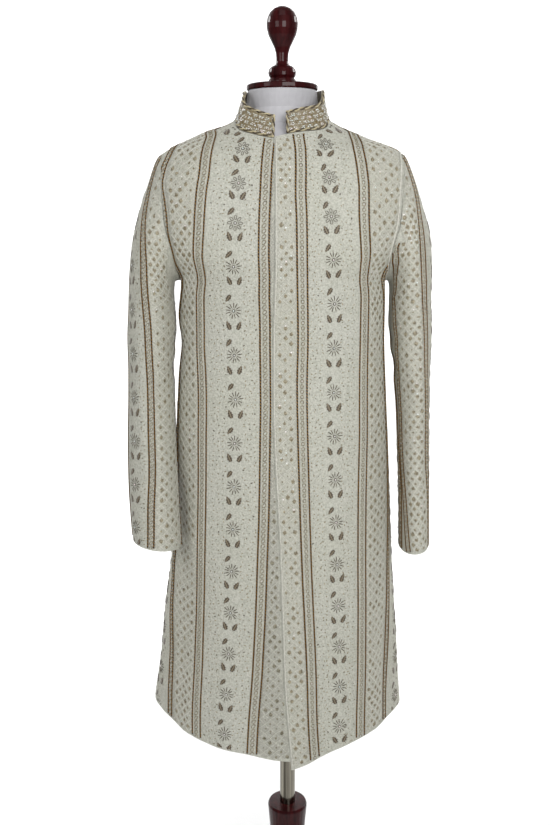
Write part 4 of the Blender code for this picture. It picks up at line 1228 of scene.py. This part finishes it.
FLOWER_STRIP = (0.12, 0.88)    # shares of the strip between two stripes that hold specks
SPECK_PITCH = 0.0082     # scattered stitches
SPECK_SIZES = (0.6, 1.15)
DARK_SHARE = 0.07        # of the specks, in dark thread
SEED_SHARE = 0.20        # of the rings, with a seed pearl
SEQUIN_SHARE = 0.16      # of the buds, with a sequin


class Needlework:
    """The piles of one cloth piece, by thread."""

    def __init__(self, cloth, name, seed, cord_aside=CORD_ASIDE):
        self.cloth, self.name, self.random = cloth, name, np.random.default_rng(seed)
        self.cord_aside, self.margin = cord_aside, cord_aside + LATTICE_CLEAR
        self.cords, self.cream, self.taupe, self.grey = (Pile() for _ in range(4))
        self.leaves, self.beads, self.quilt, self.bands = (Pile() for _ in range(4))

    def stripe(self, line, low, high, ring, cord_aside=None):
        """A pair of twisted cords, a padded band between them and its chain of rings."""
        cord_aside = self.cord_aside if cord_aside is None else cord_aside
        path = traced(self.cloth, line, low, high)
        for side in (-1, 1):
            cord(self.cords, path, side * cord_aside, *TWISTED_CORD)
            cord(self.cream, path, side * (cord_aside - PLAIN_CORD_INSET), *PLAIN_CORD, sides=4)
        ribbon(self.bands, path, cord_aside - BAND_INSET, BAND_RISE)
        s = np.arange(FIRST_RING, path.length, CHAIN_PITCH)
        theta = 2 * np.pi * np.arange(10) / 10
        wide = max(RING_NARROW, min(RING_WIDE, cord_aside - RING_INSET))
        outline = turned(wide * np.cos(theta), ring.half_length * np.sin(theta), ring.tilt)
        turn, row = around(path.spots(s), *outline)
        tubes(self.grey, self.cloth, turn, row, *RING_THREAD, sides=4, closed=True)
        some = self.random.random(len(s)) < SEED_SHARE
        copies(self.beads, self.cloth, path.spots(s[some]), SEED, lift=0.0007)

    def lattice(self, left, right, low, high, cells, left_margin=None, right_margin=None):
        """Puffed diamonds in raised threads, with a small bud in each."""
        left_margin = self.margin if left_margin is None else left_margin
        right_margin = self.margin if right_margin is None else right_margin
        strip = Strip(self.cloth, aside(self.cloth, left, left_margin, low, high),
                      aside(self.cloth, right, -right_margin, low, high), low, high)
        half_rows = 2 * int(strip.length / CELL_HEIGHT)
        half_height = strip.length / half_rows

        def place(x, y):
            share = np.clip(x / (2 * cells), 0, 1)
            return strip.at(share, np.clip(y, 0, half_rows) * half_height)

        x = np.arange(0, 2 * cells + 0.01, 0.5)
        for sign in (1, -1):
            first = -2 * cells if sign > 0 else 0
            starts = np.arange(first, first + half_rows + 2 * cells + 1, 2)
            y = starts[:, None] + sign * x
            sway = self.random.normal(0, LATTICE_SWAY, y.shape)
            turn, row = place(np.broadcast_to(x, y.shape), y + sway)
            kept = (y >= 0) & (y <= half_rows) & self.cloth.inside(turn, row)
            tubes(self.cream, self.cloth, turn, row, *LATTICE_THREAD, sides=4, flat=0.9, kept=kept)
        i, j = np.meshgrid(np.arange(0, 2 * cells + 1), np.arange(0, half_rows + 1), indexing="ij")
        centre = (i + j) % 2 == 1
        i, j = i[centre], j[centre]
        self.puffs(*place(i[:, None] + DIAMOND_X, j[:, None] + DIAMOND_Y))
        inner = (i > 0) & (i < 2 * cells) & (j > 0) & (j < half_rows)
        self.buds(strip.spots(i[inner] / (2 * cells), j[inner] * half_height))

    def puffs(self, turn, row):
        """Quilted diamonds of nine points each, the last in the middle."""
        around_middle = np.array([(k, (k + 1) % 8, 8) for k in range(8)])
        faces = around_middle[None] + (np.arange(len(turn)) * 9)[:, None, None]
        faces = faces.reshape(-1, 3)
        kept = self.cloth.inside(turn, row).reshape(-1)
        self.quilt.add(self.cloth.face(turn, row, PUFF_RISE), faces[kept[faces].all(-1)])

    def buds(self, spots):
        """A bud with two side stitches at each spot, some with a sequin."""
        count = len(spots.turn)
        stray_turn = self.random.normal(0, BUD_TURN, count)
        size = self.random.uniform(*BUD_SIZES, count)
        x, y = self.random.normal(0, BUD_SHIFT, (2, count))
        copies(self.grey, self.cloth, spots, BUD, angle=stray_turn, scale=size, x=x, y=y)
        for offset, angle in WINGS:
            copies(self.cream, self.cloth, spots, SPECK, angle=angle, scale=0.8, x=offset,
                   y=WING_UP, lift=0.0009)
        bright = self.random.random(count) < SEQUIN_SHARE
        copies(self.beads, self.cloth, pick(spots, bright), SEQUIN, y=SEQUIN_UP, lift=0.0010)

    def flowers(self, path, first, pitch, looped_above=math.inf):
        """A column of flowers, each with leaves above and below.

        first is the lowest one's height up the line, and pitch their spacing by row.
        Those above a row have looped petals, and the others rays.
        """
        s = [first]
        while s[-1] < path.length + 0.02:
            s.append(s[-1] + float(pitch(path.at(s[-1])[1])))
        s = np.array(s)
        spots = path.spots(s)
        close = pitch(spots.row) / FLOWER_PITCH
        looped = spots.row > looped_above
        rayed = pick(spots, ~looped)
        for k in range(RAYS):
            reach = np.where(k % 2 == 0, 1.0, SHORT_RAY) * self.random.uniform(0.95, 1.05, len(s))
            angle = 360.0 / RAYS * k + self.random.normal(0, 2, len(rayed.turn))
            copies(self.taupe, self.cloth, rayed, STITCH, scale=reach[~looped], whole=False,
                   angle=angle)
        theta = 2 * np.pi * np.arange(8) / 8
        if looped.any():
            for k in range(PETALS):
                self.loops(pick(spots, looped), PETAL_WIDTH * np.cos(theta),
                           PETAL_MIDDLE + PETAL_LENGTH * np.sin(theta), 360.0 / PETALS * k)
        self.loops(spots, EYE_RADIUS * np.cos(theta), EYE_RADIUS * np.sin(theta), 0.0)
        copies(self.beads, self.cloth, spots, PEARL, lift=0.0002)
        for leaf in LEAVES:
            angle = leaf.angle + self.random.normal(0, 3, len(s))
            copies(self.leaves, self.cloth, spots, LEAF, x=leaf.x, y=leaf.y * close,
                   scale=leaf.size, whole=False, angle=angle)
        copies(self.leaves, self.cloth, spots, LEAF, x=SMALL_LEAF.x, y=SMALL_LEAF.y * close,
               scale=SMALL_LEAF.size, whole=False, angle=SMALL_LEAF.angle)

    def loops(self, spots, x, y, angle):
        """Closed loops of thread through the same points, turned, at each spot."""
        turn, row = around(spots, *turned(x, y, angle))
        tubes(self.taupe, self.cloth, turn, row, *LOOP_THREAD, sides=3, closed=True)

    def specks(self, strip, low_share, high_share, width, clear=0.014):
        """Small scattered stitches over a strip this wide, clear of the flowers in its middle."""
        columns = max(1, int(width * (high_share - low_share) / SPECK_PITCH))
        rows = int(strip.length / SPECK_PITCH)
        i, j = np.meshgrid(np.arange(columns), np.arange(rows), indexing="ij")
        share = low_share + (high_share - low_share) * (
            i.ravel() + self.random.uniform(0.1, 0.9, i.size)) / columns
        s = (j.ravel() + self.random.uniform(0.1, 0.9, i.size)) * SPECK_PITCH
        kept = np.abs(share - 0.5) * width > clear
        share, s = share[kept], s[kept]
        spots = strip.spots(share, s)
        angle = self.random.uniform(0, 180, len(s))
        size = self.random.uniform(*SPECK_SIZES, len(s))
        dark = self.random.random(len(s)) < DARK_SHARE
        for pile, chosen in ((self.taupe, dark), (self.grey, ~dark)):
            copies(pile, self.cloth, pick(spots, chosen), SPECK, angle=angle[chosen],
                   scale=size[chosen])

    def finish(self, finishes):
        """Make the pieces."""
        made = []
        for part, pile in (("cords", self.cords), ("cream_thread", self.cream),
                           ("taupe_thread", self.taupe), ("grey_thread", self.grey),
                           ("leaves", self.leaves), ("beads", self.beads),
                           ("quilting", self.quilt), ("bands", self.bands)):
            if pile.count:
                made.append(pile.build(f"{self.name}_{part}", finishes[part], "embroidered_silk"))
        return made


def panel_edge(panel):
    """Whether places on a panel lie inside its seams, neckline, hem and free edge."""
    back = panel == "back"
    trim_angle, lap_trim_angle, trim = 0.45, 0.2, 0.0022

    def inside(turn, z):
        turn = np.asarray(turn, float)
        folded = np.abs(wrap(turn))
        middle, reach = (SHOULDER_Z + UNDERARM_Z) / 2, (SHOULDER_Z - UNDERARM_Z) / 2
        share = np.arccos(np.clip((z - middle) / reach, -1, 1)) / np.pi
        by_arm = (z > UNDERARM_Z) & (z < SHOULDER_Z)
        armhole = armhole_angle(np.clip(z, UNDERARM_Z, SHOULDER_Z), share, back)
        seam = np.where(by_arm, armhole, 90.0)
        kept = folded > seam + trim_angle if back else folded < seam - trim_angle
        kept &= z > edge_height(HEM_LINE, wrap(turn), panel) + trim
        kept &= z < edge_height(NECK_LINE, wrap(turn), panel) - trim
        closing = free_edge_angle("left", z)
        if panel == "left":
            kept &= turn > closing + trim_angle
        if panel == "right":
            kept &= turn < closing - lap_trim_angle
        return kept

    return inside


def table_curve(*rows):
    """A smooth curve through rows of position and value."""
    return Curve(*zip(*sorted(rows)))


def aside(cloth, line, metres, low, high):
    """The line that runs this far to the right of another."""
    path = traced(cloth, line, low, high, 400)
    turn, moved = around(path.spots(path.run), np.array((metres,)), 0.0)
    order = np.argsort(moved[:, 0])
    return lambda at: np.interp(at, moved[order, 0], turn[order, 0])


FRONT_LOW, FRONT_HIGH = 0.396, 1.514     # the fronts' stripes run past hem and neckline
SIDE_TOP = 1.15          # the side columns of flowers end here
# the flowers' spacing by row: on the fronts they stand closer towards the shoulders
FRONT_PITCH = Curve((1.20, 1.28, 1.35, 1.42, 1.50), (0.0742, 0.0700, 0.0640, 0.0590, 0.0560))
LOOPED_ABOVE = 1.33      # the fronts' flowers above this height have looped petals
EVEN_PITCH = Curve((-20.0, 2.0), (FLOWER_PITCH, FLOWER_PITCH))


def front_side(work, third, side, first):
    """Scattered stitches and a column of flowers between a third stripe and the side seam."""
    def seam(row):
        return np.full_like(row, side * 90.0)

    lines, shares = ((third, seam), (0.25, 1.0)) if side > 0 else ((seam, third), (0.0, 0.75))
    work.specks(Strip(work.cloth, *lines, FRONT_LOW, UNDERARM_Z), *shares, width=0.06, clear=0.0)
    line = aside(work.cloth, third, side * SIDE_COLUMN, FRONT_LOW, SIDE_TOP)
    work.flowers(traced(work.cloth, line, FRONT_LOW, SIDE_TOP, 600), first, EVEN_PITCH)


def embroider_right_front(finishes, lap_shadow_finishes):
    """The wearer's right front, under the lap: stripes, flowers and lattice, the lattice by the lap
    in painted shadow; returns pieces.
    """
    low, high = FRONT_LOW, FRONT_HIGH
    cloth = Cloth(panel_face("right"), ROW_STEP, 1.0, panel_edge("right"))
    work = Needlework(cloth, "front_right", 11)
    first = table_curve((0.395, -15.4), (0.481, -14.6), (0.609, -13.9), (0.753, -13.0),
                        (0.892, -12.2), (1.028, -12.5), (1.094, -13.4), (1.161, -15.0),
                        (1.227, -14.8), (1.292, -13.2), (1.387, -13.0), (1.466, -13.8),
                        (1.514, -14.4))
    second = table_curve((0.395, -45.0), (0.464, -46.2), (0.594, -48.3), (0.740, -49.9),
                         (0.883, -51.2), (1.022, -53.8), (1.089, -55.8), (1.156, -59.0),
                         (1.224, -57.5), (1.291, -52.2), (1.355, -49.8), (1.418, -51.2),
                         (1.466, -56.5), (1.488, -65.8), (1.503, -90.0))
    third = table_curve((0.395, -62.6), (0.474, -64.4), (0.517, -65.7), (0.608, -68.7),
                        (0.698, -74.0), (0.756, -78.0), (0.862, -78.6), (0.975, -77.2),
                        (1.062, -78.7), (1.105, -81.4), (1.156, -84.0), (1.216, -80.2),
                        (1.275, -71.9), (1.303, -67.6), (1.324, -66.9), (1.357, -66.1),
                        (1.383, -67.0), (1.416, -70.0), (1.447, -72.1), (1.468, -76.7),
                        (1.479, -90.0))
    for line, cord_aside in ((first, None), (second, None), (third, THIRD_CORD_ASIDE)):
        work.stripe(line, low, high, SLANTED_RING, cord_aside)
    work.lattice(third, second, low, high, 3)
    # painted shadow: the lattice between the first stripe and the lap is drawn in darker silk and
    # threads, as the over panel's shadow
    shaded = Needlework(cloth, "front_right_lap_shadow", 16)
    shaded.lattice(first, lambda row: free_edge_angle("right", row), low, high, 3,
                   right_margin=0.003)
    flowers = Strip(cloth, second, first, low, high)
    work.flowers(flowers.line(0.50), 0.073, FRONT_PITCH, LOOPED_ABOVE)
    work.specks(flowers, *FLOWER_STRIP, width=0.104)
    front_side(work, third, -1, 0.076)
    return work.finish(finishes) + shaded.finish(lap_shadow_finishes)


def embroider_left_front(finishes):
    """The wearer's left front, over the lap, its free edge and armhole corded; returns pieces."""
    low, high = FRONT_LOW, FRONT_HIGH
    cloth = Cloth(panel_face("left"), ROW_STEP, 1.0, panel_edge("left"))
    work = Needlework(cloth, "front_left", 12)
    first = table_curve((0.395, 22.6), (0.480, 20.5), (0.609, 18.2), (0.753, 16.0),
                        (0.893, 15.1), (1.028, 14.8), (1.161, 15.0), (1.261, 13.9),
                        (1.386, 13.6), (1.448, 16.0), (1.464, 17.0), (1.514, 18.6))
    second = table_curve((0.395, 46.8), (0.464, 47.0), (0.595, 47.8), (0.741, 49.1),
                         (0.883, 51.2), (1.021, 54.8), (1.089, 56.2), (1.157, 57.0),
                         (1.224, 56.0), (1.291, 51.5), (1.355, 49.2), (1.419, 52.0),
                         (1.466, 57.0), (1.490, 68.8), (1.503, 90.0))
    third = table_curve((0.395, 61.6), (0.462, 63.4), (0.518, 64.7), (0.592, 67.0),
                        (0.685, 69.2), (0.767, 71.5), (0.849, 75.1), (0.955, 77.6),
                        (1.045, 77.9), (1.150, 79.2), (1.220, 77.2), (1.270, 70.5),
                        (1.290, 71.0), (1.308, 78.0), (1.330, 90.0))
    rim = table_curve((0.395, 61.6), (0.592, 67.0), (0.767, 71.5), (0.955, 77.6), (1.150, 79.2),
                      (1.220, 77.2), (1.270, 70.5), (1.305, 68.0), (1.349, 67.4), (1.383, 68.6),
                      (1.416, 71.6), (1.447, 75.4), (1.468, 80.5), (1.479, 90.0))
    for line, cord_aside in ((first, None), (second, None), (third, THIRD_CORD_ASIDE)):
        work.stripe(line, low, high, UPRIGHT_RING, cord_aside)

    def edge(row):
        return free_edge_angle("left", row)

    cord(work.cream, traced(cloth, edge, low, high), EDGE_CORD_ASIDE, *EDGE_CORD)
    work.lattice(second, rim, low, high, 3)
    piping_turn, piping_row = armhole_place(np.linspace(0.93, 0.04, 200), False)
    cord(work.cream, Path(cloth, piping_turn - PIPING_TURN, piping_row), 0.0, *PIPING)
    work.lattice(edge, first, low, high, 2, left_margin=0.002)
    flowers = Strip(cloth, first, second, low, high)
    centre = Curve((0.39, 0.80, 1.25, 1.52), (0.565, 0.55, 0.53, 0.53))

    def column(row):
        return first(row) * (1 - centre(row)) + second(row) * centre(row)

    work.flowers(traced(cloth, column, low, high), 0.084, FRONT_PITCH, LOOPED_ABOVE)
    work.specks(flowers, *FLOWER_STRIP, width=0.104)
    front_side(work, third, 1, 0.096)
    return work.finish(finishes)


def back_turn(arc_by_row):
    """A line on the back given by its arc from the middle, in metres, as turn by row."""
    turn = np.linspace(180.0, 84.0, 97)
    rows = np.linspace(0.39, 1.54, 231)
    points = level_point(turn[:, None], rows)
    arc = np.cumsum(np.linalg.norm(np.diff(points, axis=0, prepend=points[:1]), axis=-1), axis=0)
    placed = np.array([np.interp(arc_by_row(row), arc[:, k], turn) for k, row in enumerate(rows)])
    return lambda row: np.interp(row, rows, placed)


BACK_LOW, BACK_HIGH = 0.44, 1.53
BACK_ARCS = (0.0385, 0.1405, 0.2175)     # the three stripes' distances from the middle
# how much further apart they stand, by height
BACK_SPREAD = ((0.44, 1.10), (0.80, 1.04), (1.20, 1.0), (1.38, 1.0), (1.46, 0.92), (1.53, 0.80))


def mirrored(line, side):
    """A line of the back on the wearer's left, side 1, or right, side -1."""
    return lambda row: side * line(row)


def embroider_back(finishes):
    """The back: lattice down the middle, then stripes, flowers and lattice; returns pieces."""
    cloth = Cloth(panel_face("back"), ROW_STEP, 1.0, panel_edge("back"))
    work = Needlework(cloth, "back", 13)
    low, high = BACK_LOW, BACK_HIGH
    lines = [back_turn(table_curve(*((height, arc * spread) for height, spread in BACK_SPREAD)))
             for arc in BACK_ARCS]
    for side in (1, -1):
        first, second, third = (mirrored(line, side) for line in lines)
        for line in (first, second, third):
            work.stripe(line, low, high, UPRIGHT_RING)
        # seen from behind, a larger turn lies further right; the strips run left to right
        flowers = Strip(cloth, *((second, first) if side > 0 else (first, second)), low, high)
        work.flowers(flowers.line(0.50), 0.050, EVEN_PITCH)
        work.specks(flowers, *FLOWER_STRIP, width=0.102)
        work.lattice(*((third, second) if side > 0 else (second, third)), low, high, 3)
    work.lattice(lines[0], lambda row: 360.0 - lines[0](row), low, high, 3)
    return work.finish(finishes)


class SleeveCloth(Cloth):
    """A sleeve as it is cut: rows are metres up from the cuff along each meridian."""

    seam_station = 0.10      # stitches stop this far below the armhole seam, in stations
    cuff_trim = 0.0025       # and this far above the cuff

    def __init__(self, side, table):
        self.sleeve = sleeve_face(side, table)
        self.turns = np.linspace(-200.0, 260.0, 231)
        self.stations = np.linspace(float(len(table)), 0.0, 111)
        points = self.sleeve(*np.meshgrid(self.turns, self.stations, indexing="ij"))
        self.heights = np.cumsum(np.linalg.norm(np.diff(points, axis=1, prepend=points[:, :1]),
                                                axis=-1), axis=1)
        girth = np.linalg.norm(np.diff(points, axis=0, prepend=points[:1]), axis=-1)
        self.arcs = np.cumsum(girth, axis=0)
        self.arcs -= self.arcs[np.argmin(np.abs(self.turns))]
        self.step = 0.002
        self.length = self.heights[:, -1].max()
        rows = np.arange(0.0, self.length + self.step, self.step)
        self.station_rows = np.array([np.interp(rows, up, self.stations) for up in self.heights])
        super().__init__(self.outside, ROW_STEP, float(-side), self.between_seams)

    def outside(self, turn, row, lift=0.0):
        """The outer face; above the armhole seam it goes straight up."""
        over = np.maximum(0.0, row - np.interp(turn, self.turns, self.heights[:, -1]))
        return (self.sleeve(turn, self.station(turn, row), lift)
                + over[..., None] * np.array((0.0, 0.0, 1.0)))

    def station(self, turn, row):
        """Station of a place, between the rows of the table of stations."""
        turn_step = self.turns[1] - self.turns[0]
        turn, row = np.broadcast_arrays(np.asarray(turn, float), np.asarray(row, float))
        a, b = (turn - self.turns[0]) / turn_step, row / self.step
        most_a, most_b = (size - 2 for size in self.station_rows.shape)
        i = np.clip(np.nan_to_num(a), 0, most_a).astype(int)
        j = np.clip(np.nan_to_num(b), 0, most_b).astype(int)
        a, b, table = a - i, b - j, self.station_rows
        return ((1 - a) * ((1 - b) * table[i, j] + b * table[i, j + 1])
                + a * ((1 - b) * table[i + 1, j] + b * table[i + 1, j + 1]))

    def between_seams(self, turn, row):
        """Whether places lie between the armhole seam and the cuff."""
        return (self.station(turn, row) > self.seam_station) & (row > self.cuff_trim)

    def row_at(self, arc, station):
        """Row of the place at a distance round a station."""
        k = np.argmin(np.abs(self.stations - station))
        return float(np.interp(np.interp(arc, self.arcs[:, k], self.turns), self.turns,
                               self.heights[:, k]))

    def line(self, arc_by_station):
        """A line given by its distance round each station, as turn by row."""
        columns = range(len(self.stations))
        turn = np.array([np.interp(arc_by_station(-self.stations[k]), self.arcs[:, k], self.turns)
                         for k in columns])
        row = np.array([np.interp(turn[k], self.turns, self.heights[:, k]) for k in columns])
        rising = np.append(True, row[1:] > np.maximum.accumulate(row)[:-1] + 0.001)
        return lambda at: np.interp(at, row[rising], turn[rising])


Sleeve = namedtuple("Sleeve", "side ovals name seed ring inner_top pair lattice_width")
# pair is the distance round the sleeve to the middle stripe and lattice_width the one from
# there to the stripe nearest the body, by station; that stripe ends at station inner_top
SLEEVES = (
    Sleeve(-1, SLEEVE_RIGHT, "sleeve_right", 14, SLANTED_RING, 5.0,
           ((0.0, 0.034), (1.0, 0.046), (2.68, 0.0708), (4.05, 0.0972), (6.33, 0.0944),
            (8.0, 0.0885), (9.12, 0.084), (11.0, 0.0645)),
           ((0.0, 0.185), (2.0, 0.174), (4.0, 0.152), (5.0, 0.132), (6.3, 0.105),
            (11.0, 0.080))),
    Sleeve(1, SLEEVE_LEFT, "sleeve_left", 15, UPRIGHT_RING, 0.0,
           ((0.0, 0.034), (1.0, 0.046), (2.93, 0.0707), (4.08, 0.0860), (6.68, 0.0653),
            (8.68, 0.0517), (11.0, 0.0290)),
           ((0.0, 0.160), (0.75, 0.167), (1.4, 0.169), (2.15, 0.159), (3.4, 0.127),
            (5.08, 0.088), (6.5, 0.073), (8.47, 0.068), (11.0, 0.055))),
)
# distances round the sleeve from the middle stripe to the next three, by station
FLORAL = Curve((-11.0, -7.0, -4.0, 0.0), (0.070, 0.088, 0.105, 0.115))
BEHIND = Curve((-11.0, -6.0, 0.0), (0.125, 0.155, 0.175))
LAST = Curve((-11.0, -6.0, 0.0), (0.190, 0.230, 0.243))


def embroider_sleeve(sleeve, finishes):
    """A sleeve: lattice on its front, flowers on its outer side, lattice behind; returns pieces."""
    side = sleeve.side
    cloth = SleeveCloth(side, sleeve.ovals)
    work = Needlework(cloth, sleeve.name, sleeve.seed, SLEEVE_CORD_ASIDE)
    pair, width = (table_curve(*((-station, metres) for station, metres in table))
                   for table in (sleeve.pair, sleeve.lattice_width))
    offsets = (width, lambda at: 0.0, lambda at: -FLORAL(at), lambda at: -BEHIND(at),
               lambda at: -LAST(at))
    lines = [cloth.line(lambda at, offset=offset: pair(at) + offset(at)) for offset in offsets]
    low, high = 0.0, cloth.length
    under_arm = cloth.row_at(pair(-sleeve.inner_top) + width(-sleeve.inner_top), sleeve.inner_top)
    for line, top in zip(lines, (under_arm, high, high, high, high)):
        work.stripe(line, low, top, sleeve.ring)
    for inner, outer in ((0, 1), (2, 3)):
        ends = (lines[inner], lines[outer])
        work.lattice(*(ends if side > 0 else ends[::-1]), low, high, 3)
    for inner, outer in ((1, 2), (3, 4)):
        ends = (lines[inner], lines[outer])
        strip = Strip(cloth, *(ends if side > 0 else ends[::-1]), low, high)
        line = strip.line(0.5)
        below = line.row < (high if inner == 1 else under_arm - 0.06)
        work.flowers(Path(cloth, line.turn[below], line.row[below]), 0.030, EVEN_PITCH)
        work.specks(strip, 0.14, 0.86, width=0.085, clear=0.012)
    return work.finish(finishes)


BEAD_COLUMNS, BEAD_ROWS = 150, 12
BEADS_LOW, BEADS_HEIGHT = 0.155, 0.69    # shares of the collar's height
SCALLOP_PITCH, SCALLOP_GIRTH = 0.0085, 0.41
SCALLOP_HALF = 0.36      # half a scallop's width, as a share of the pitch
PEARL_SHARE = 0.45       # of a scallop's places, the others holding knots
GILT_SHARE = 0.55        # of the places between scallops, the others left bare
ROPE_LOW, ROPE_HIGH = 0.07, 0.945        # where the rope runs, as shares of the height
ROPE_INSET = 0.55        # from the collar's front ends, in degrees
ROPE_PITCH, STRAND_RADIUS = 0.0175, 0.00125
ROPE_LIFT, ROPE_STEP = 0.0007, 0.0008


def everywhere(turn, share):
    """Every place on the collar lies inside its edges."""
    return np.ones(np.broadcast(turn, share).shape, bool)


def bead_collar(cloth, pearls, knots, gilt):
    """Pearls and knots in small scallops on the collar, gilt beads between them."""
    random = np.random.default_rng(21)
    span = COLLAR_END - COLLAR_START
    i, j = np.meshgrid(np.arange(BEAD_COLUMNS), np.arange(BEAD_ROWS), indexing="ij")
    i, j = i.ravel(), j.ravel()
    turn = COLLAR_START + span * (i + 0.5 * (j % 2) + 0.5 + random.uniform(-0.3, 0.3, i.size)) / (
        BEAD_COLUMNS + 0.5)
    share = BEADS_LOW + BEADS_HEIGHT * (j + random.uniform(-0.3, 0.3, i.size)) / (BEAD_ROWS - 1)
    along = (turn - COLLAR_START) / 360.0 * SCALLOP_GIRTH / SCALLOP_PITCH + 0.5 * (j // 3 % 2)
    in_scallop = (np.abs(along % 1.0 - 0.5) < SCALLOP_HALF) & (j % 3 != 2)
    draw = random.random(len(turn))
    is_pearl, is_knot = in_scallop & (draw < PEARL_SHARE), in_scallop & (draw >= PEARL_SHARE)
    is_gilt = ~in_scallop & (draw < GILT_SHARE)
    pieces = []
    for name, chosen, finish, size in (("collar_pearls", is_pearl, pearls, 1.2),
                                       ("collar_knots", is_knot, knots, 1.35),
                                       ("collar_gilt_beads", is_gilt, gilt, 0.85)):
        pile, count = Pile(), chosen.sum()
        spots = cloth.spots(turn[chosen], share[chosen], np.zeros(count), np.ones(count))
        copies(pile, cloth, spots, SEED, scale=size * random.uniform(0.75, 1.25, count))
        pieces.append(pile.build(name, finish, "beaded_band"))
    return pieces


def rope_collar(cloth, dark_twist, pale_twist):
    """A rope of two strands, dark and pale, all round the collar's edges."""
    turn_line = np.linspace(COLLAR_START, COLLAR_END, 400)
    up = np.linspace(0.03, 0.97, 40)
    outline_turn = np.concatenate((turn_line, np.full(40, COLLAR_END - ROPE_INSET),
                                   turn_line[::-1], np.full(40, COLLAR_START + ROPE_INSET)))
    outline_share = np.concatenate((np.full(400, ROPE_LOW), up, np.full(400, ROPE_HIGH),
                                    up[::-1]))
    points = cloth.face(outline_turn, outline_share)
    run = np.concatenate(((0.0,), np.cumsum(np.linalg.norm(np.diff(points, axis=0), axis=1))))
    s = np.arange(0.0, run[-1], ROPE_STEP)
    turn, share = np.interp(s, run, outline_turn), np.interp(s, run, outline_share)
    centre = cloth.face(turn, share, ROPE_LIFT)
    normal = cloth.slopes(turn, share)[2]
    right = unit(np.cross(unit(np.gradient(centre, axis=0)), normal))
    theta = 2 * np.pi * np.arange(6) / 6
    pieces = []
    for name, phase, finish in (("collar_rope_dark", 0.0, dark_twist),
                                ("collar_rope_pale", np.pi, pale_twist)):
        spin = 2 * np.pi * s / ROPE_PITCH + phase
        line = centre + STRAND_RADIUS * (np.cos(spin)[:, None] * right
                                         + np.sin(spin)[:, None] * normal)
        ahead = unit(np.gradient(line, axis=0))
        side = unit(np.cross(ahead, normal))
        over = np.cross(side, ahead)
        ring = line[:, None] + STRAND_RADIUS * (np.cos(theta)[:, None] * side[:, None]
                                                + np.sin(theta)[:, None] * over[:, None])
        uv = np.stack(np.broadcast_arrays(s[:, None], STRAND_RADIUS * theta), -1)
        pile = Pile()
        pile.add(ring, grid_faces(len(s), 6, closed=True)[:, ::-1], uv)
        pieces.append(pile.build(name, finish, "beaded_band"))
    return pieces


# ---------------------------------------------------------------- the whole object
bpy.context.scene.view_settings.view_transform = "Standard"
camera()
studio()
CLOTH_PIECES = dress()
FINISHES = {"cords": twist(), "leaves": leaf_thread(), "beads": pearl(),
            "quilting": silk("ivory raw silk, quilted in diamonds", "#A3A296", "#BFBEB4"),
            "bands": silk("ivory raw silk band", "#A9A89B", "#C3C2B8"),
            "cream_thread": floss("cream cotton cord", "#B5B4A8", "#D0CFC5", 0.6, 0.3),
            "taupe_thread": floss("dark taupe silk floss", "#332A1C", "#574A34", 0.5, 0.1),
            "grey_thread": floss("grey taupe silk floss", "#5D543F", "#A29980", 0.5, 0.3)}
# painted shadow of the over panel on the lattice beside its free edge: darker silk and threads, and
# grey floss in place of the pearl sequins
LAP_SHADOW_FINISHES = dict(
    FINISHES, quilting=silk("ivory raw silk, rubbed under the lap", "#9A9990", "#AFAEA5"),
    cream_thread=floss("cream cotton cord, painted shadow", "#AEADA2", "#C8C7BC", 0.6, 0.2),
    beads=FINISHES["grey_thread"], grey_thread=floss("taupe floss, painted shadow", "#575240", "#8F8A76",
                                                     0.5, 0.2))
WORK = {"front_right": embroider_right_front(FINISHES, LAP_SHADOW_FINISHES),
        "front_left": embroider_left_front(FINISHES),
        "back": embroider_back(FINISHES)}
for sleeve in SLEEVES:
    WORK[sleeve.name] = embroider_sleeve(sleeve, FINISHES)
COLLAR_CLOTH = Cloth(collar_face, 0.02, 1.0, everywhere)
WORK["collar"] = (
    bead_collar(COLLAR_CLOTH, FINISHES["beads"], FINISHES["cream_thread"], gilt_bead())
    + rope_collar(COLLAR_CLOTH, floss("dark olive silk rope", "#3A3122", "#594C36", 0.45, 0.3),
                  floss("beige silk rope", "#A39777", "#C4B997", 0.45, 0.3)))
WOOD = mahogany()
STAND = {"form_body": jersey(), "pole": chrome(), "neck_cap": WOOD, "finial": WOOD,
         "post": WOOD, "base": WOOD}
for name, finish in STAND.items():
    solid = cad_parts[name]
    solid.data.materials.clear()
    solid.data.materials.append(finish)

# flat size and area of each piece as cut, and what it rests on
SHEETS = (
    ("front_right", (0.36, 1.12), 0.32, ["form_body"]),
    ("front_left", (0.36, 1.13), 0.33, ["form_body"]),
    ("back", (0.66, 1.08), 0.60, ["form_body"]),
    ("sleeve_right", (0.44, 0.68), 0.24, []),
    ("sleeve_left", (0.44, 0.68), 0.24, []),
    ("collar", (0.46, 0.050), None, []),
)
for name, flat, area, under in SHEETS:
    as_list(WORK[name])
